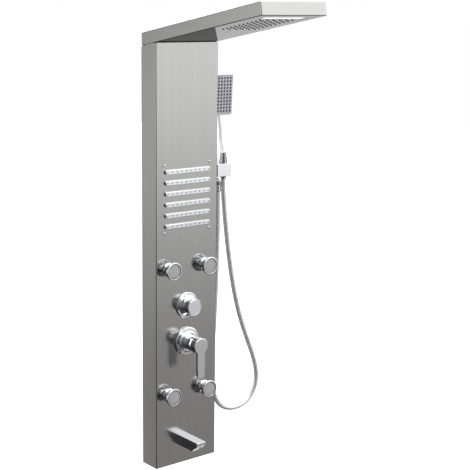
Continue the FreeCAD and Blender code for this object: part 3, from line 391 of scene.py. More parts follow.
def joinedForms(*forms):
    vertices, faces = [], []
    for formVertices, formFaces in forms:
        start = len(vertices)
        vertices += formVertices
        faces += [tuple(i + start for i in face) for face in formFaces]
    return vertices, faces


def movedForm(form, matrix):
    return [tuple(matrix @ Vector(p)) for p in form[0]], form[1]


def plainMesh(name, form, place):
    mesh = bpy.data.meshes.new(name)
    mesh.from_pydata(form[0], [], form[1])
    shape = bmesh.new()
    shape.from_mesh(mesh)
    bmesh.ops.remove_doubles(shape, verts=shape.verts, dist=weldDistance)
    bmesh.ops.recalc_face_normals(shape, faces=shape.faces)
    shape.to_mesh(mesh)
    shape.free()
    mesh.transform(place @ Matrix.Scale(mm, 4))
    mesh.shade_smooth()
    mesh.set_sharp_from_angle(angle=sharpAngle)
    return mesh


def addPiece(name, mesh, slot, body, *nodes, finish=None):
    if not mesh.materials:
        mesh.materials.append(finishes[finish or slot])
    piece = newObject(name, mesh)
    if body:
        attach(piece, body)
    if nodes:
        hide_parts(*nodes)
    return piece


def addForm(name, form, place, slot, body, *nodes, finish=None):
    return addPiece(name, plainMesh(name, form, place), slot, body, *nodes, finish=finish)


def nodeCentre(node):
    low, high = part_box(node)
    return (Vector(low) + Vector(high)) / 2


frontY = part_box("column_shell")[0][1]
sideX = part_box("column_shell")[1][0]


def onFront(node):  # +Z of the form points out of the front face, at the node's centre
    centre = nodeCentre(node)
    return Matrix.Translation((centre.x, frontY, centre.z)) @ Matrix.Rotation(pi / 2, 4, "X")


def upright(x, y):
    return Matrix.Translation((x, y, 0))


# Geometry Nodes: a tree with named inputs, evaluated once and kept as a plain mesh.

class Tree:
    def __init__(self, name):
        self.group = bpy.data.node_groups.new(name, "GeometryNodeTree")
        self.group.interface.new_socket("Geometry", in_out="OUTPUT", socket_type="NodeSocketGeometry")
        self.entry = self.group.nodes.new("NodeGroupInput")
        self.exit = self.group.nodes.new("NodeGroupOutput")

    def addInput(self, name, kind):
        self.group.interface.new_socket(name, in_out="INPUT", socket_type="NodeSocket" + kind)
        return self.entry.outputs[name]

    def node(self, kind, values=None, **sources):
        return addNode(self.group, "GeometryNode" + kind, values, **sources)

    def link(self, source, target):
        self.group.links.new(source, target)

    def math(self, operation, first, second):
        made = self.group.nodes.new("ShaderNodeMath")
        made.operation = operation
        for socket, value in zip(made.inputs, (first, second)):
            if isinstance(value, (int, float)):
                socket.default_value = value
            else:
                self.link(value, socket)
        return made.outputs[0]

    def finish(self, geometry):
        realized = self.node("RealizeInstances", Geometry=geometry)
        coated = self.node("SetMaterial", Geometry=realized.outputs[0],
                           Material=self.addInput("Finish", "Material"))
        self.link(coated.outputs[0], self.exit.inputs[0])


def grownMesh(name, tree, settings, carrier=None):
    carrier = carrier or newObject("carrier", bpy.data.meshes.new("carrier"))
    modifier = carrier.modifiers.new(name, "NODES")
    modifier.node_group = tree.group
    for item in tree.group.interface.items_tree:
        if item.in_out == "INPUT" and item.name in settings:
            modifier[item.identifier] = settings[item.name]
    bpy.context.view_layer.update()
    graph = bpy.context.evaluated_depsgraph_get()
    mesh = bpy.data.meshes.new_from_object(carrier.evaluated_get(graph), depsgraph=graph)
    mesh.name = name
    bpy.data.objects.remove(carrier)
    return mesh


def scatterTips(tree, points, tip):
    shape = tree.node("ObjectInfo", Object=tip)
    placed = tree.node("InstanceOnPoints", Points=points, Instance=shape.outputs["Geometry"])
    tree.finish(placed.outputs[0])
    return tree


def storeNamed(tree, name, geometry, value):
    return tree.node("StoreNamedAttribute", {"data_type": "FLOAT", "domain": "POINT", "Name": name},
                     Geometry=geometry, Value=value).outputs[0]


def readNamed(tree, name):
    return tree.node("InputNamedAttribute", {"data_type": "FLOAT", "Name": name}).outputs[0]


def makeFieldTree():  # a tip at every crossing of a grid
    tree = Tree("tipField")
    tip = tree.addInput("Tip", "Object")
    columns = tree.addInput("Columns", "Int")
    rows = tree.addInput("Rows", "Int")
    columnPitch = tree.addInput("Column pitch", "Float")
    rowPitch = tree.addInput("Row pitch", "Float")
    width = tree.math("MULTIPLY", tree.math("SUBTRACT", columns, 1), columnPitch)
    depth = tree.math("MULTIPLY", tree.math("SUBTRACT", rows, 1), rowPitch)
    grid = tree.node("MeshGrid", Size_X=width, Size_Y=depth, Vertices_X=columns, Vertices_Y=rows)
    return scatterTips(tree, grid.outputs["Mesh"], tip)


def makeRingTree(rings):  # a tip in the middle and round it on rings, six more on each
    tree = Tree("tipRings")
    tip = tree.addInput("Tip", "Object")
    pitch = tree.addInput("Ring pitch", "Float")
    both = tree.node("JoinGeometry")
    middle = tree.node("MeshLine", {"Count": 1})
    tree.link(middle.outputs[0], both.inputs["Geometry"])
    for ring in range(1, rings + 1):
        circle = tree.node("MeshCircle", {"Vertices": 6 * ring},
                           Radius=tree.math("MULTIPLY", pitch, ring))
        tree.link(circle.outputs[0], both.inputs["Geometry"])
    return scatterTips(tree, both.outputs[0], tip)


def makeWoundTree():  # a tube along the route with a groove that winds round it
    tree = Tree("woundHose")
    route = tree.addInput("Geometry", "Geometry")
    radius = tree.addInput("Radius", "Float")
    pitch = tree.addInput("Pitch", "Float")
    groove = tree.addInput("Groove", "Float")
    step = tree.math("DIVIDE", pitch, 4.0)
    even = tree.node("ResampleCurve", {"mode": "LENGTH"}, Curve=route, Length=step)
    spline = tree.node("SplineParameter")
    along = storeNamed(tree, "along", even.outputs[0], spline.outputs["Length"])
    circle = tree.node("CurvePrimitiveCircle", {"Resolution": 20}, Radius=radius)
    around = storeNamed(tree, "around", circle.outputs[0], spline.outputs["Factor"])
    skin = tree.node("CurveToMesh", {"Fill Caps": True}, Curve=along, Profile_Curve=around)
    turns = tree.math("ADD", tree.math("DIVIDE", readNamed(tree, "along"), pitch), readNamed(tree, "around"))
    wave = tree.math("COSINE", tree.math("MULTIPLY", turns, 2 * pi), 0)
    sink = tree.math("MULTIPLY", tree.math("MULTIPLY", tree.math("SUBTRACT", wave, 1), 0.5), groove)
    normal = tree.node("InputNormal")
    offset = tree.group.nodes.new("ShaderNodeVectorMath")
    offset.operation = "SCALE"
    tree.link(normal.outputs[0], offset.inputs[0])
    tree.link(sink, offset.inputs["Scale"])
    wound = tree.node("SetPosition", Geometry=skin.outputs[0], Offset=offset.outputs[0])
    smooth = tree.node("SetShadeSmooth", Geometry=wound.outputs[0])
    tree.finish(smooth.outputs[0])
    return tree


fieldTree = makeFieldTree()


def tipObject(name, form):
    return newObject(name, plainMesh(name, form, Matrix.Identity(4)))


def grownField(name, form, slot, columns, rows, columnPitch, rowPitch):
    tip = tipObject(name + "Tip", form)
    mesh = grownMesh(name, fieldTree, {
        "Tip": tip, "Columns": columns, "Rows": rows, "Column pitch": columnPitch * mm,
        "Row pitch": rowPitch * mm, "Finish": finishes[slot]})
    bpy.data.objects.remove(tip)
    return mesh


# Hose: from the outlet down in a loop and up into the cone nut.

hoseSettings = {
    "radius": 7.1,
    "pitch": 3.0,
    "groove": 0.12,
    "length": 1.55,
    "planeY": -35.0,
    "followsFrom": 0.30,     # share of its length
    "followsTo": 0.97,
    # x and z in the plane of the hand shower's axis, outlet first
    "route": [
        (140.0, 808.0), (140.0, 770.0), (140.6, 722.0), (140.2, 668.0), (138.8, 612.0),
        (137.0, 554.0), (134.9, 496.0), (132.4, 440.0), (129.2, 386.0), (126.0, 334.0),
        (123.6, 284.0), (123.4, 236.0), (128.0, 190.0), (140.5, 152.0), (164.0, 126.5),
        (196.0, 113.5), (231.0, 112.5), (263.0, 123.0), (288.0, 146.0), (302.5, 180.0),
        (302.0, 220.0), (289.0, 266.0), (269.0, 314.0), (248.0, 364.0), (228.0, 418.0),
        (211.5, 476.0), (198.0, 536.0), (186.6, 598.0), (177.0, 660.0), (169.5, 720.0),
        (164.2, 768.0), (160.0, 812.0), (160.0, 846.0),
    ],
}


def hoseRoute():
    size = Sizes(**hoseSettings)
    curve = bpy.data.curves.new("hoseRoute", "CURVE")
    curve.dimensions = "3D"
    curve.resolution_u = 24
    spline = curve.splines.new("NURBS")
    spline.points.add(len(size.route) - 1)
    for point, (x, z) in zip(spline.points, size.route):
        point.co = (x * mm, size.planeY * mm, z * mm, 1)
    spline.order_u = 3
    spline.use_endpoint_u = True
    return newObject("hoseRoute", curve)


def makeHose(*fittings):
    size = Sizes(**hoseSettings)
    route = hoseRoute()
    bpy.context.view_layer.update()
    graph = bpy.context.evaluated_depsgraph_get()
    line = bpy.data.meshes.new_from_object(route.evaluated_get(graph), depsgraph=graph)
    mesh = grownMesh("showerHose", makeWoundTree(), {
        "Radius": size.radius * mm, "Pitch": size.pitch * mm,
        "Groove": size.groove * mm, "Finish": finishes["hose_metal"]}, route)
    hose = addPiece("showerHose", mesh, "hose_metal", None, "shower_hose")
    places = [v.co.copy() for v in mesh.vertices]
    along = [value.value for value in mesh.attributes["along"].data]
    # The hose is laid out straight along its length while its transform is baked, and then put back.
    for vertex, distance in zip(mesh.vertices, along):
        vertex.co = (0, 0, distance)
    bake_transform(hose)
    for vertex, place in zip(mesh.vertices, places):
        vertex.co = place


# Nuts at both ends of the hose, and the outlet it hangs from.

fittingSettings = {
    "swivelNut": {"radius": 9.6, "low": 808.0, "high": 826.0, "groove": 0.7},
    "coneNut": {"foot": 846.0, "top": 891.0, "footRadius": 8.8, "seatLow": 854.0,
                "seatRadius": 9.8, "topRadius": 12.94},
    "outlet": {"flangeRadius": 13.5, "flangeThick": 4.0, "radius": 9.0, "cornerX": 140.0,
               "axisZ": 841.5, "endZ": 826.0, "bendSteps": 12, "sides": 48},
}


def makeSwivelNut():
    size = Sizes(**fittingSettings["swivelNut"])
    centre = nodeCentre("hose_swivel_nut")
    r, low, high = size.radius, size.low, size.high
    waist = r - size.groove
    profile = outline((0, low), (r - 1.2, low, 0.5), (r, low + 1.5, 0.4), (r, high - 5), (waist, high - 4.6),
                      (waist, high - 4), (r, high - 3.6), (r, high, 0.6), (0, high))
    return addForm("swivelNut", softTurned(profile, smallSides), upright(centre.x, centre.y),
                   "chrome", "root", "hose_swivel_nut")


def makeConeNut():
    size = Sizes(**fittingSettings["coneNut"])
    centre = nodeCentre("hose_cone_nut")
    foot, r = size.foot, size.footRadius
    profile = outline((0, foot), (r - 0.4, foot, 0.6), (r, foot + 3, 0.4), (size.seatRadius, size.seatLow),
                      (size.topRadius, size.top, 0.5), (0, size.top))
    return addForm("coneNut", softTurned(profile), upright(centre.x, centre.y),
                   "chrome", "hose_end", "hose_cone_nut")


def makeOutlet():
    size = Sizes(**fittingSettings["outlet"])
    centreY = nodeCentre("hose_outlet").y / mm
    flange, thick, r, sides = size.flangeRadius, size.flangeThick, size.radius, size.sides
    profile = outline((0, 0), (flange, 0), (flange, 1.2, 0.5), (flange - 1.5, thick, 0.8), (0, thick))
    start = Vector((sideX / mm, centreY, size.axisZ))
    outwards = Matrix.Translation(start) @ Matrix.Rotation(pi / 2, 4, "Y")
    spine = [(start, Vector((0, 0, 1)))]
    centre = Vector((size.cornerX - r, centreY, size.axisZ - r))
    for angle in spread(pi / 2, 0, size.bendSteps):
        outward = Vector((cos(angle), 0, sin(angle)))
        spine.append((centre + outward * r, outward))
    spine.append((Vector((size.cornerX, centreY, size.endZ)), Vector((1, 0, 0))))
    rings = [[tuple(place + outward * (r * cos(turn)) + Vector((0, r * sin(turn), 0)))
              for turn in spread(0, 2 * pi, sides)[:-1]] for place, outward in spine]
    form = joinedForms(movedForm(softTurned(profile, smallSides), outwards), loftedForm(rings))
    # the outlet's chrome is painted darker: painted shade standing in for dark reflections
    addForm("hoseOutlet", form, Matrix.Identity(4), "chrome", "root", "hose_outlet", finish="shaded")


makeHose(makeSwivelNut(), makeConeNut())
makeOutlet()
print("hose and its fittings made")


# Massage bars with their rubber tips and the screws round them.

barSettings = {"count": 6, "pitch": 31.6, "length": 160.0, "height": 13.5, "out": 6.5, "round": 1.2,
               "tips": 10, "tipPitch": 16.3, "tipRadius": 1.9, "tipOut": 0.9}
screwSettings = {"radius": 3.6, "rim": 0.8, "rise": 1.6, "sunk": 0.4, "socket": 1.4, "socketLip": 0.25,
                 "socketDeep": 1.2, "sides": 24, "perSide": 2}


def stadiumOutline(length, height, steps=20):
    r = height / 2
    half = length / 2 - r
    right = [(half + r * sin(a), -r * cos(a)) for a in spread(0, pi, steps)]
    return right + [(-x, -y) for x, y in right]


# sunk is in millimetres, the rest are shares of the tip's radius or height
tipSettings = {"sunk": 0.5, "top": 0.72, "mouth": 0.34, "bore": 0.26, "floor": 0.4}


def tipForm(radius, height, sides=10):
    size = Sizes(**tipSettings)
    floor = height * size.floor
    return turnedForm([(0, -size.sunk), (radius, -size.sunk), (radius, 0), (radius * size.top, height),
                       (radius * size.mouth, height), (radius * size.bore, floor), (0, floor)], sides)


def makeMassageBars():
    size = Sizes(**barSettings)
    nodes = [f"massage_bar_{i + 1}" for i in range(size.count)]
    middle = (nodeCentre(nodes[0]) + nodeCentre(nodes[-1])) / 2
    place = Matrix.Translation((middle.x, frontY, middle.z)) @ Matrix.Rotation(pi / 2, 4, "X")
    bar = slabForm(stadiumOutline(size.length, size.height), 0, size.out, 0, size.round)
    mesh = grownField("massageBars", bar, "chrome", 1, size.count, 1.0, size.pitch)
    mesh.transform(place)
    addPiece("massageBars", mesh, "chrome", "root", *nodes)
    tips = grownField("massageTips", tipForm(size.tipRadius, size.tipOut), "dark_rubber",
                      size.tips, size.count, size.tipPitch, size.pitch)
    tips.transform(place @ Matrix.Translation((0, 0, size.out * mm)))
    addPiece("massageTips", tips, "dark_rubber", "root", "massage_nozzles")


def makePanelScrews():
    size = Sizes(**screwSettings)
    low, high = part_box("massage_screws")
    r, rim, top, foot = size.radius, size.rim, size.rim + size.rise, -size.sunk
    floor = top - size.socketDeep
    profile = [(0, foot), (r, foot), (r, rim)]
    profile += [(r * cos(a), rim + size.rise * sin(a)) for a in (pi / 10, pi / 5, 3 * pi / 10, 0.37 * pi)]
    profile += [(size.socket, top - size.socketLip), (size.socket, floor), (0, floor)]
    mesh = grownField("panelScrews", turnedForm(profile, size.sides), "chrome", size.perSide, size.perSide,
                      (high[0] - low[0]) / mm - 2 * r, (high[2] - low[2]) / mm - 2 * r)
    mesh.transform(onFront("massage_screws"))
    # the screws' chrome is painted darker: painted shade standing in for dark reflections
    addPiece("panelScrews", mesh, "chrome", "root", "massage_screws", finish="shaded")


makeMassageBars()
makePanelScrews()
print("massage bars made")


# Body jets: a collar with a ball seat, and a round head on a ball that tilts.

jetSettings = {"flange": 20.5, "collar": 17.0, "collarOut": 13.0, "ball": 13.0, "pivot": 10.0,
               "neck": 8.06, "head": 26.0, "headBack": 21.0, "out": 31.0, "face": 21.5, "faceDeep": 1.6,
               "seal": 1.5, "ballFrom": -50.0, "ballTo": 51.6, "ballSteps": 16, "ballPlay": 0.1,
               "faceThick": 2.0, "sealPlay": 0.05, "count": 4, "tipOut": 0.8, "tipSides": 8, "tipFoot": 0.3,
               "tipRings": 4, "tipPitch": 4.4, "tipRadius": 1.15}


def makeJets():
    size = Sizes(**jetSettings)
    c, ball, collar, out, face, back = size.pivot, size.ball, size.collar, size.out, size.face, size.headBack
    lip = sqrt((ball + size.ballPlay) ** 2 - (size.collarOut - c) ** 2)
    flange = outline((lip + 0.4, 0.3), (size.flange, 0), (size.flange, 1.8, 0.8), (collar + 1, 3.6, 0.6),
                     (collar, 4.6, 0.6), (collar, size.collarOut, 0.9), (lip, size.collarOut, 0.4),
                     (lip + 0.4, c))
    arc = [(ball * cos(a), c + ball * sin(a))
           for a in spread(radians(size.ballFrom), radians(size.ballTo), size.ballSteps)]
    level = out - size.faceDeep
    floor, inner, edge = level - size.faceThick, face - size.seal, face - size.sealPlay
    head = [(0, arc[0][1])] + arc + softened(outline(
        (size.neck, back - 1.2, 1.0), (size.head - 4, back + 0.3, 0.8), (size.head, back + 2.6, 2.0),
        (size.head, out, 1.5), (face, out, 0.5), (face, floor, 0), (0, floor)))
    disc = outline((0, floor), (inner - 0.1, floor), (inner - 0.1, level, 0.4), (0, level + 0.6))
    seal = [(inner, floor), (edge, floor), (edge, level - 0.2), (inner, level - 0.6)]
    ringTree = makeRingTree(size.tipRings)
    for i in range(1, size.count + 1):
        place = onFront(f"jet_head_{i}")
        body = f"jet_{i}"
        addForm(f"jetFlange{i}", softTurned(flange, closed=True), place,
                "chrome", "root", f"jet_flange_{i}")
        addForm(f"jetHead{i}", turnedForm(head), place, "chrome", body, f"jet_head_{i}")
        addForm(f"jetFace{i}", softTurned(disc, faceSides), place, "grey_face", body, f"jet_face_{i}")
        addForm(f"jetSeal{i}", turnedForm(seal, faceSides, closed=True), place, "dark_rubber", body)
        tip = tipObject(f"jetTip{i}", tipForm(size.tipRadius, size.tipOut, size.tipSides))
        mesh = grownMesh(f"jetTips{i}", ringTree, {"Tip": tip, "Ring pitch": size.tipPitch * mm,
                                                   "Finish": finishes["grey_face"]})
        bpy.data.objects.remove(tip)
        mesh.transform(place @ Matrix.Translation((0, 0, (level + size.tipFoot) * mm)))
        addPiece(f"jetTips{i}", mesh, "grey_face", body)


makeJets()
print("body jets made")


# Diverter: a domed rosette with a neck and a flat round knob.

diverterSettings = {"rosette": 39.0, "neck": 21.5, "neckOut": 17.0, "hole": 13.2, "knob": 25.0,
                    "neckWall": 3.0, "plate": 5.0, "knobBack": 17.6, "knobOut": 41.0, "rim": 2.6,
                    "recess": 0.9, "discDeep": 1.2, "discIn": 3.4, "discProud": 0.2}


def makeDiverter():
    size = Sizes(**diverterSettings)
    r, n, top = size.rosette, size.neck, size.neckOut
    inner = n - size.neckWall
    rosette = outline((size.hole, 0), (r, 0), (r, 3.0), (r - 0.6, 4.6, r - 2.2, 5.2), (r - 7.0, 5.4, 0.4),
                      (r - 9.0, 8.2, 1.5), (n + 2.0, 12.4, 1.5), (n, 14.4, 0.5), (n, top, 0.8),
                      (inner, top, 0.4), (inner, size.plate), (size.hole, size.plate))
    addForm("diverterRosette", softTurned(rosette, largeSides, closed=True), onFront("diverter_rosette"),
            "chrome", "root", "diverter_rosette")
    k, back, out = size.knob, size.knobBack, size.knobOut
    floor = out - size.recess
    knob = outline((0, back), (k, back, 1.0), (k, out, 1.8), (k - size.rim, out, 0.2),
                   (k - size.rim - 0.2, floor, 0.2), (0, floor))
    addForm("diverterKnob", softTurned(knob, largeSides), onFront("diverter_knob"),
            "chrome", "diverter_knob", "diverter_knob")
    edge, low, high = k - size.discIn, out - size.discDeep, out - size.discProud
    disc = outline((0, low), (edge, low), (edge, high, 0.3), (0, high))
    addForm("diverterFace", softTurned(disc), onFront("diverter_knob"),
            "chrome", "diverter_knob", finish="satin")


makeDiverter()
print("diverter made")


# Mixer: a stepped rosette, a domed sleeve and a lever with a round hub.

mixerSettings = {"rosette": 43.0, "step": 31.0, "rosetteOut": 15.0, "sleeve": 23.0, "wall": 2.0,
                 "play": 0.1, "pivot": 37.0, "mouth": 12.5, "sleeveFoot": 2.0, "hub": 24.0, "hubBack": 50.0,
                 "hubSunk": 4.0, "out": 73.0, "reach": 100.0, "root": 14.0, "tip": 13.0, "thick": 7.0,
                 "fillet": 11.0, "round": 1.4, "backRound": 0.6, "gap": 0.5, "tipRise": 7.0, "rootShare": 0.6,
                 "filletSteps": 8, "hubSteps": 48, "domeSteps": 20, "hollowSteps": 12, "tipSteps": 18}


def leverOutline():
    size = Sizes(**mixerSettings)
    hub, root, tip, fillet, end = size.hub, size.root, size.tip, size.fillet, -size.reach
    cx = root + fillet
    cy = -sqrt((hub + fillet) ** 2 - cx ** 2)
    contact = atan2(cy, cx)
    right = [(cx - fillet * cos(a), cy + fillet * sin(a)) for a in spread(0, -contact, size.filletSteps)]
    hubArc = [(hub * cos(a), hub * sin(a)) for a in spread(contact, pi - contact, size.hubSteps)[1:-1]]
    left = [(-x, y) for x, y in reversed(right)]
    rise, narrow = end + size.tipRise, end * size.rootShare
    lower = [(-root, narrow), (-tip, rise)]
    lower += [(x, y) for x, y, _ in arcThrough((-tip, rise), (0, end), (tip, rise), size.tipSteps)]
    return right + hubArc + left + lower + [(root, narrow)]


def makeMixer():
    size = Sizes(**mixerSettings)
    r, s, top = size.rosette, size.step, size.rosetteOut
    d = size.sleeve
    hole = d + size.play
    rosette = outline((hole, 0), (r, 0), (r, 4.8), (r - 0.7, 6.5, r - 3, 7.4), (s + 2, 8.4),
                      (s + 0.4, 9, s, 10.6), (s - 0.8, 13.4, s - 3.6, top - 0.6), (d + 1, top),
                      (hole, top - 0.3))
    addForm("mixerRosette", softTurned(rosette, largeSides, closed=True), onFront("mixer_rosette"),
            "chrome", "root", "mixer_rosette")

    p, m = size.pivot, size.mouth
    inner = d - size.wall
    outerArc, innerArc = [[(ball * cos(a), p + ball * sin(a))
                           for a in spread(0, pi / 2 - asin(m / ball), size.domeSteps)]
                          for ball in (d, inner)]
    sleeve = [(d, size.sleeveFoot)] + outerArc + innerArc[::-1] + [(inner, size.sleeveFoot)]
    addForm("mixerSleeve", turnedForm(sleeve, closed=True), onFront("mixer_sleeve"),
            "chrome", "root", "mixer_sleeve")

    hollow = d + size.gap
    rim = asin((size.hubBack - p) / hollow)
    under = [(hollow * cos(a), p + hollow * sin(a)) for a in spread(pi / 2, rim, size.hollowSteps)]
    hubTop = size.out - size.hubSunk    # inside the paddle
    hubProfile = under + softened(outline((size.hub, size.hubBack, 0.8), (size.hub, hubTop)))
    hub = turnedForm(hubProfile + [(0, hubTop)], largeSides)
    paddle = slabForm(leverOutline(), size.out - size.thick, size.out, size.backRound, size.round)
    addForm("mixerLever", joinedForms(hub, paddle), onFront("mixer_sleeve"),
            "chrome", "mixer_lever", "mixer_lever")


makeMixer()
print("mixer made")


# Spout: a square block whose nose is cut back below, with the outlet in the cut.

spoutSettings = {"width": 32.0, "top": 81.0, "bottom": 49.0, "out": 75.0, "nose": 12.0, "chamfer": 26.0,
                 "round": 1.0, "aerator": 10.5, "aeratorOut": 0.7, "aeratorBack": 3.0, "aeratorDeep": 1.4}


def makeSpout():
    size = Sizes(**spoutSettings)
    bottom, top, out, nose = size.bottom, size.top, size.out, size.top - size.nose
    e = size.round
    side = softened(outline((0, bottom), (out - size.chamfer, bottom, e), (out, nose, e), (out, top, e),
                            (0, top)), closed=True, steps=4)
    half = size.width / 2
    block = slabForm(side, -half, half, e, e)
    forwards = Matrix.Translation((nodeCentre("spout_body").x, frontY, 0)) @ Matrix(
        ((0, 0, -1, 0), (-1, 0, 0, 0), (0, 1, 0, 0), (0, 0, 0, 1)))
    addForm("spoutBody", block, forwards, "chrome", "root", "spout_body")

    slope = atan2(nose - bottom, size.chamfer)
    middle = Matrix.Translation((nodeCentre("spout_body").x, frontY - (out - size.chamfer / 2) * mm,
                                 (bottom + nose) / 2 * mm))
    downwards = middle @ Matrix.Rotation(pi - slope, 4, "X")
    a, lip, back, floor = size.aerator, size.aeratorOut, -size.aeratorBack, -size.aeratorDeep
    ring = outline((0, back), (a, back), (a, lip, 0.4), (a - 2.2, lip, 0.4),
                   (a - 2.6, floor, 0.2), (0, floor))
    addForm("spoutAerator", softTurned(ring, smallSides), downwards, "grey_face", "root", "spout_aerator")


makeSpout()
print("spout made")


# Holder for the hand shower: a foot on the column's side and a block with a tapered seat.

holderSettings = {"start": 125.0, "end": 177.5, "top": 892.0, "round": 2.2, "edge": 0.8,
                  "seatTop": 12.9, "seatBottom": 10.1, "gate": 17.0, "axisX": 160.0,
                  "footCurve": (127.0, 925.0), "footKneeZ": 895.0, "footTopX": 112.5, "footRound": 0.8,
                  "seatSteps": 36}


def holderOutline(seat):
    size = Sizes(**holderSettings)
    low, high = (Vector(corner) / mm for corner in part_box("holder_block"))
    x0, x1, y0, y1 = size.start, size.end, low.y, high.y
    axis, middle, gate = size.axisX, (y0 + y1) / 2, size.gate / 2
    meet = asin(gate / seat)
    seatArc = [(axis + seat * cos(a), middle + seat * sin(a))
               for a in spread(-meet, meet - 2 * pi, size.seatSteps)]
    around = softened(outline((x1, middle + gate), (x1, y1, size.round), (x0, y1, size.round),
                              (x0, y0, size.round), (x1, y0, size.round), (x1, middle - gate)))
    return around + seatArc


def makeHolder():
    size = Sizes(**holderSettings)
    low, high = (Vector(corner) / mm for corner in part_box("holder_block"))
    e = size.edge
    rings = []
    bottom, top = low.z, size.top
    for level, inset in [(bottom, e), (bottom + 0.3 * e, 0.3 * e), (bottom + e, 0), (bottom + 1.5 * e, 0),
                         (top - 1.5 * e, 0), (top - e, 0), (top - 0.3 * e, 0.3 * e), (top, e)]:
        share = min(1.0, (level - bottom) / (high.z - bottom))
        seat = size.seatBottom + (size.seatTop - size.seatBottom) * share
        rings.append(insetRing(holderOutline(seat), inset, level))
    mesh = plainMesh("holderBlock", loftedForm(rings, capped=False), Matrix.Identity(4))
    closeEnds(mesh)
    addPiece("holderBlock", mesh, "chrome", "root", "holder_block")

    low, high = (Vector(corner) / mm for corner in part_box("holder_bracket"))
    side = softened(outline((low.x, low.z), (high.x, low.z, 1.0), (high.x, size.footKneeZ),
                            (*size.footCurve, size.footTopX, high.z), (low.x, high.z)), closed=True)
    foot = slabForm(side, -high.y, -low.y, size.footRound, size.footRound)
    addForm("holderBracket", foot, Matrix.Rotation(pi / 2, 4, "X"), "chrome", "root", "holder_bracket")


def closeEnds(mesh):  # flat faces over the open ends of an outline that isn't convex
    shape = bmesh.new()
    shape.from_mesh(mesh)
    rims = [edge for edge in shape.edges if edge.is_boundary]
    filled = bmesh.ops.holes_fill(shape, edges=rims, sides=0)["faces"]
    bmesh.ops.triangulate(shape, faces=filled)
    bmesh.ops.recalc_face_normals(shape, faces=shape.faces)
    shape.to_mesh(mesh)
    shape.free()
    mesh.shade_smooth()
    mesh.set_sharp_from_angle(angle=sharpAngle)


makeHolder()
print("holder made")


# Hand shower: a conical neck, a flat grip and a flat rectangular head.

handSettings = {
    "neckFoot": 891.3, "neckTop": 925.0, "footRadius": 12.4, "neckRadius": 8.6,
    # height, width, thickness, corner and backward shift of the grip's sections
    "grip": [(923.0, 17.2, 17.2, 8.5, 0.0), (927.0, 18.0, 17.0, 8.3, 0.0), (940.0, 22.6, 16.6, 8.1, 0.3),
             (956.0, 26.0, 16.0, 7.8, 0.8), (977.0, 28.4, 15.2, 7.4, 1.8), (998.0, 29.6, 14.6, 7.1, 3.2),
             (1018.0, 30.4, 13.4, 6.5, 5.4), (1034.0, 31.0, 11.4, 5.5, 8.2), (1044.0, 32.0, 9.6, 4.6, 9.2)],
    "width": 60.5, "height": 121.0, "thick": 13.0, "corner": 6.0, "backRound": 3.0, "frontRound": 0.9,
    "margin": 2.2, "faceThick": 2.0, "recess": 0.5, "middleZ": 1096.0, "backY": -24.5, "pitch": 2.7,
    "columns": 5, "rows": 11, "columnPitch": 10.9, "rowPitch": 9.7, "tipRadius": 3.3, "tipOut": 0.9,
    "facePlay": 0.1, "faceRound": 0.3,
}


def boxOutline(width, height, corner):
    w, h = width / 2, height / 2
    corners = outline((w, -h, corner), (w, h, corner), (-w, h, corner), (-w, -h, corner))
    return softened(corners, closed=True, steps=8)


def makeHandShower():
    size = Sizes(**handSettings)
    axis = nodeCentre("hose_cone_nut")
    ax, ay = axis.x / mm, axis.y / mm
    neckProfile = outline((0, size.neckFoot), (size.footRadius, size.neckFoot, 0.8),
                          (size.neckRadius, size.neckTop, 0.5), (0, size.neckTop))
    # the neck's chrome is painted darker: painted shade standing in for dark reflections
    addForm("handNeck", softTurned(neckProfile), upright(axis.x, axis.y),
            "chrome", "hand_shower", finish="shaded")
    thick = size.thick
    onHead = (Matrix.Translation((ax, size.backY, size.middleZ)) @ Matrix.Rotation(pi / 2, 4, "X")
              @ Matrix.Rotation(radians(size.pitch), 4, "X"))
    plan = boxOutline(size.width, size.height, size.corner)
    e, f, m = size.backRound, size.frontRound, size.margin
    faceTop, faceFoot = thick - size.recess, thick - size.faceThick - size.recess
    levels = roundedFoot(0, e) + roundedTop(thick, f, 4) + [(thick, m - 0.3), (thick - 0.3, m), (faceFoot, m)]
    head = movedForm(loftedForm(ringsAt(plan, levels)), onHead)
    addForm("handShower", head, Matrix.Identity(4), "chrome", "hand_shower", "handset_body")

    rings = [[(ax + x, ay + back + y, height) for x, y in boxOutline(width, deep, corner)]
             for height, width, deep, corner, back in size.grip]
    # the grip's near-white colour is a painted bright reflection of the studio on its chrome
    addForm("handGrip", loftedForm(rings), Matrix.Identity(4), "chrome", "hand_shower", finish="grip")

    less = 2 * m + size.facePlay
    plan = boxOutline(size.width - less, size.height - less, size.corner - m)
    face = movedForm(slabForm(plan, faceFoot, faceTop, 0, size.faceRound), onHead)
    addForm("handFace", face, Matrix.Identity(4),
            "grey_face", "hand_shower", "handset_face", finish="spray")
    tips = grownField("handTips", tipForm(size.tipRadius, size.tipOut), "dark_rubber", size.columns,
                      size.rows, size.columnPitch, size.rowPitch)
    tips.transform(Matrix.Scale(mm, 4) @ onHead @ Matrix.Scale(1 / mm, 4)
                   @ Matrix.Translation((0, 0, faceTop * mm)))
    addPiece("handTips", tips, "dark_rubber", "hand_shower", "handset_nozzles")


makeHandShower()
print("hand shower made")


# Overhead: a folded box on the slope, its polished plate with the waterfall slot, and the rubber tips.

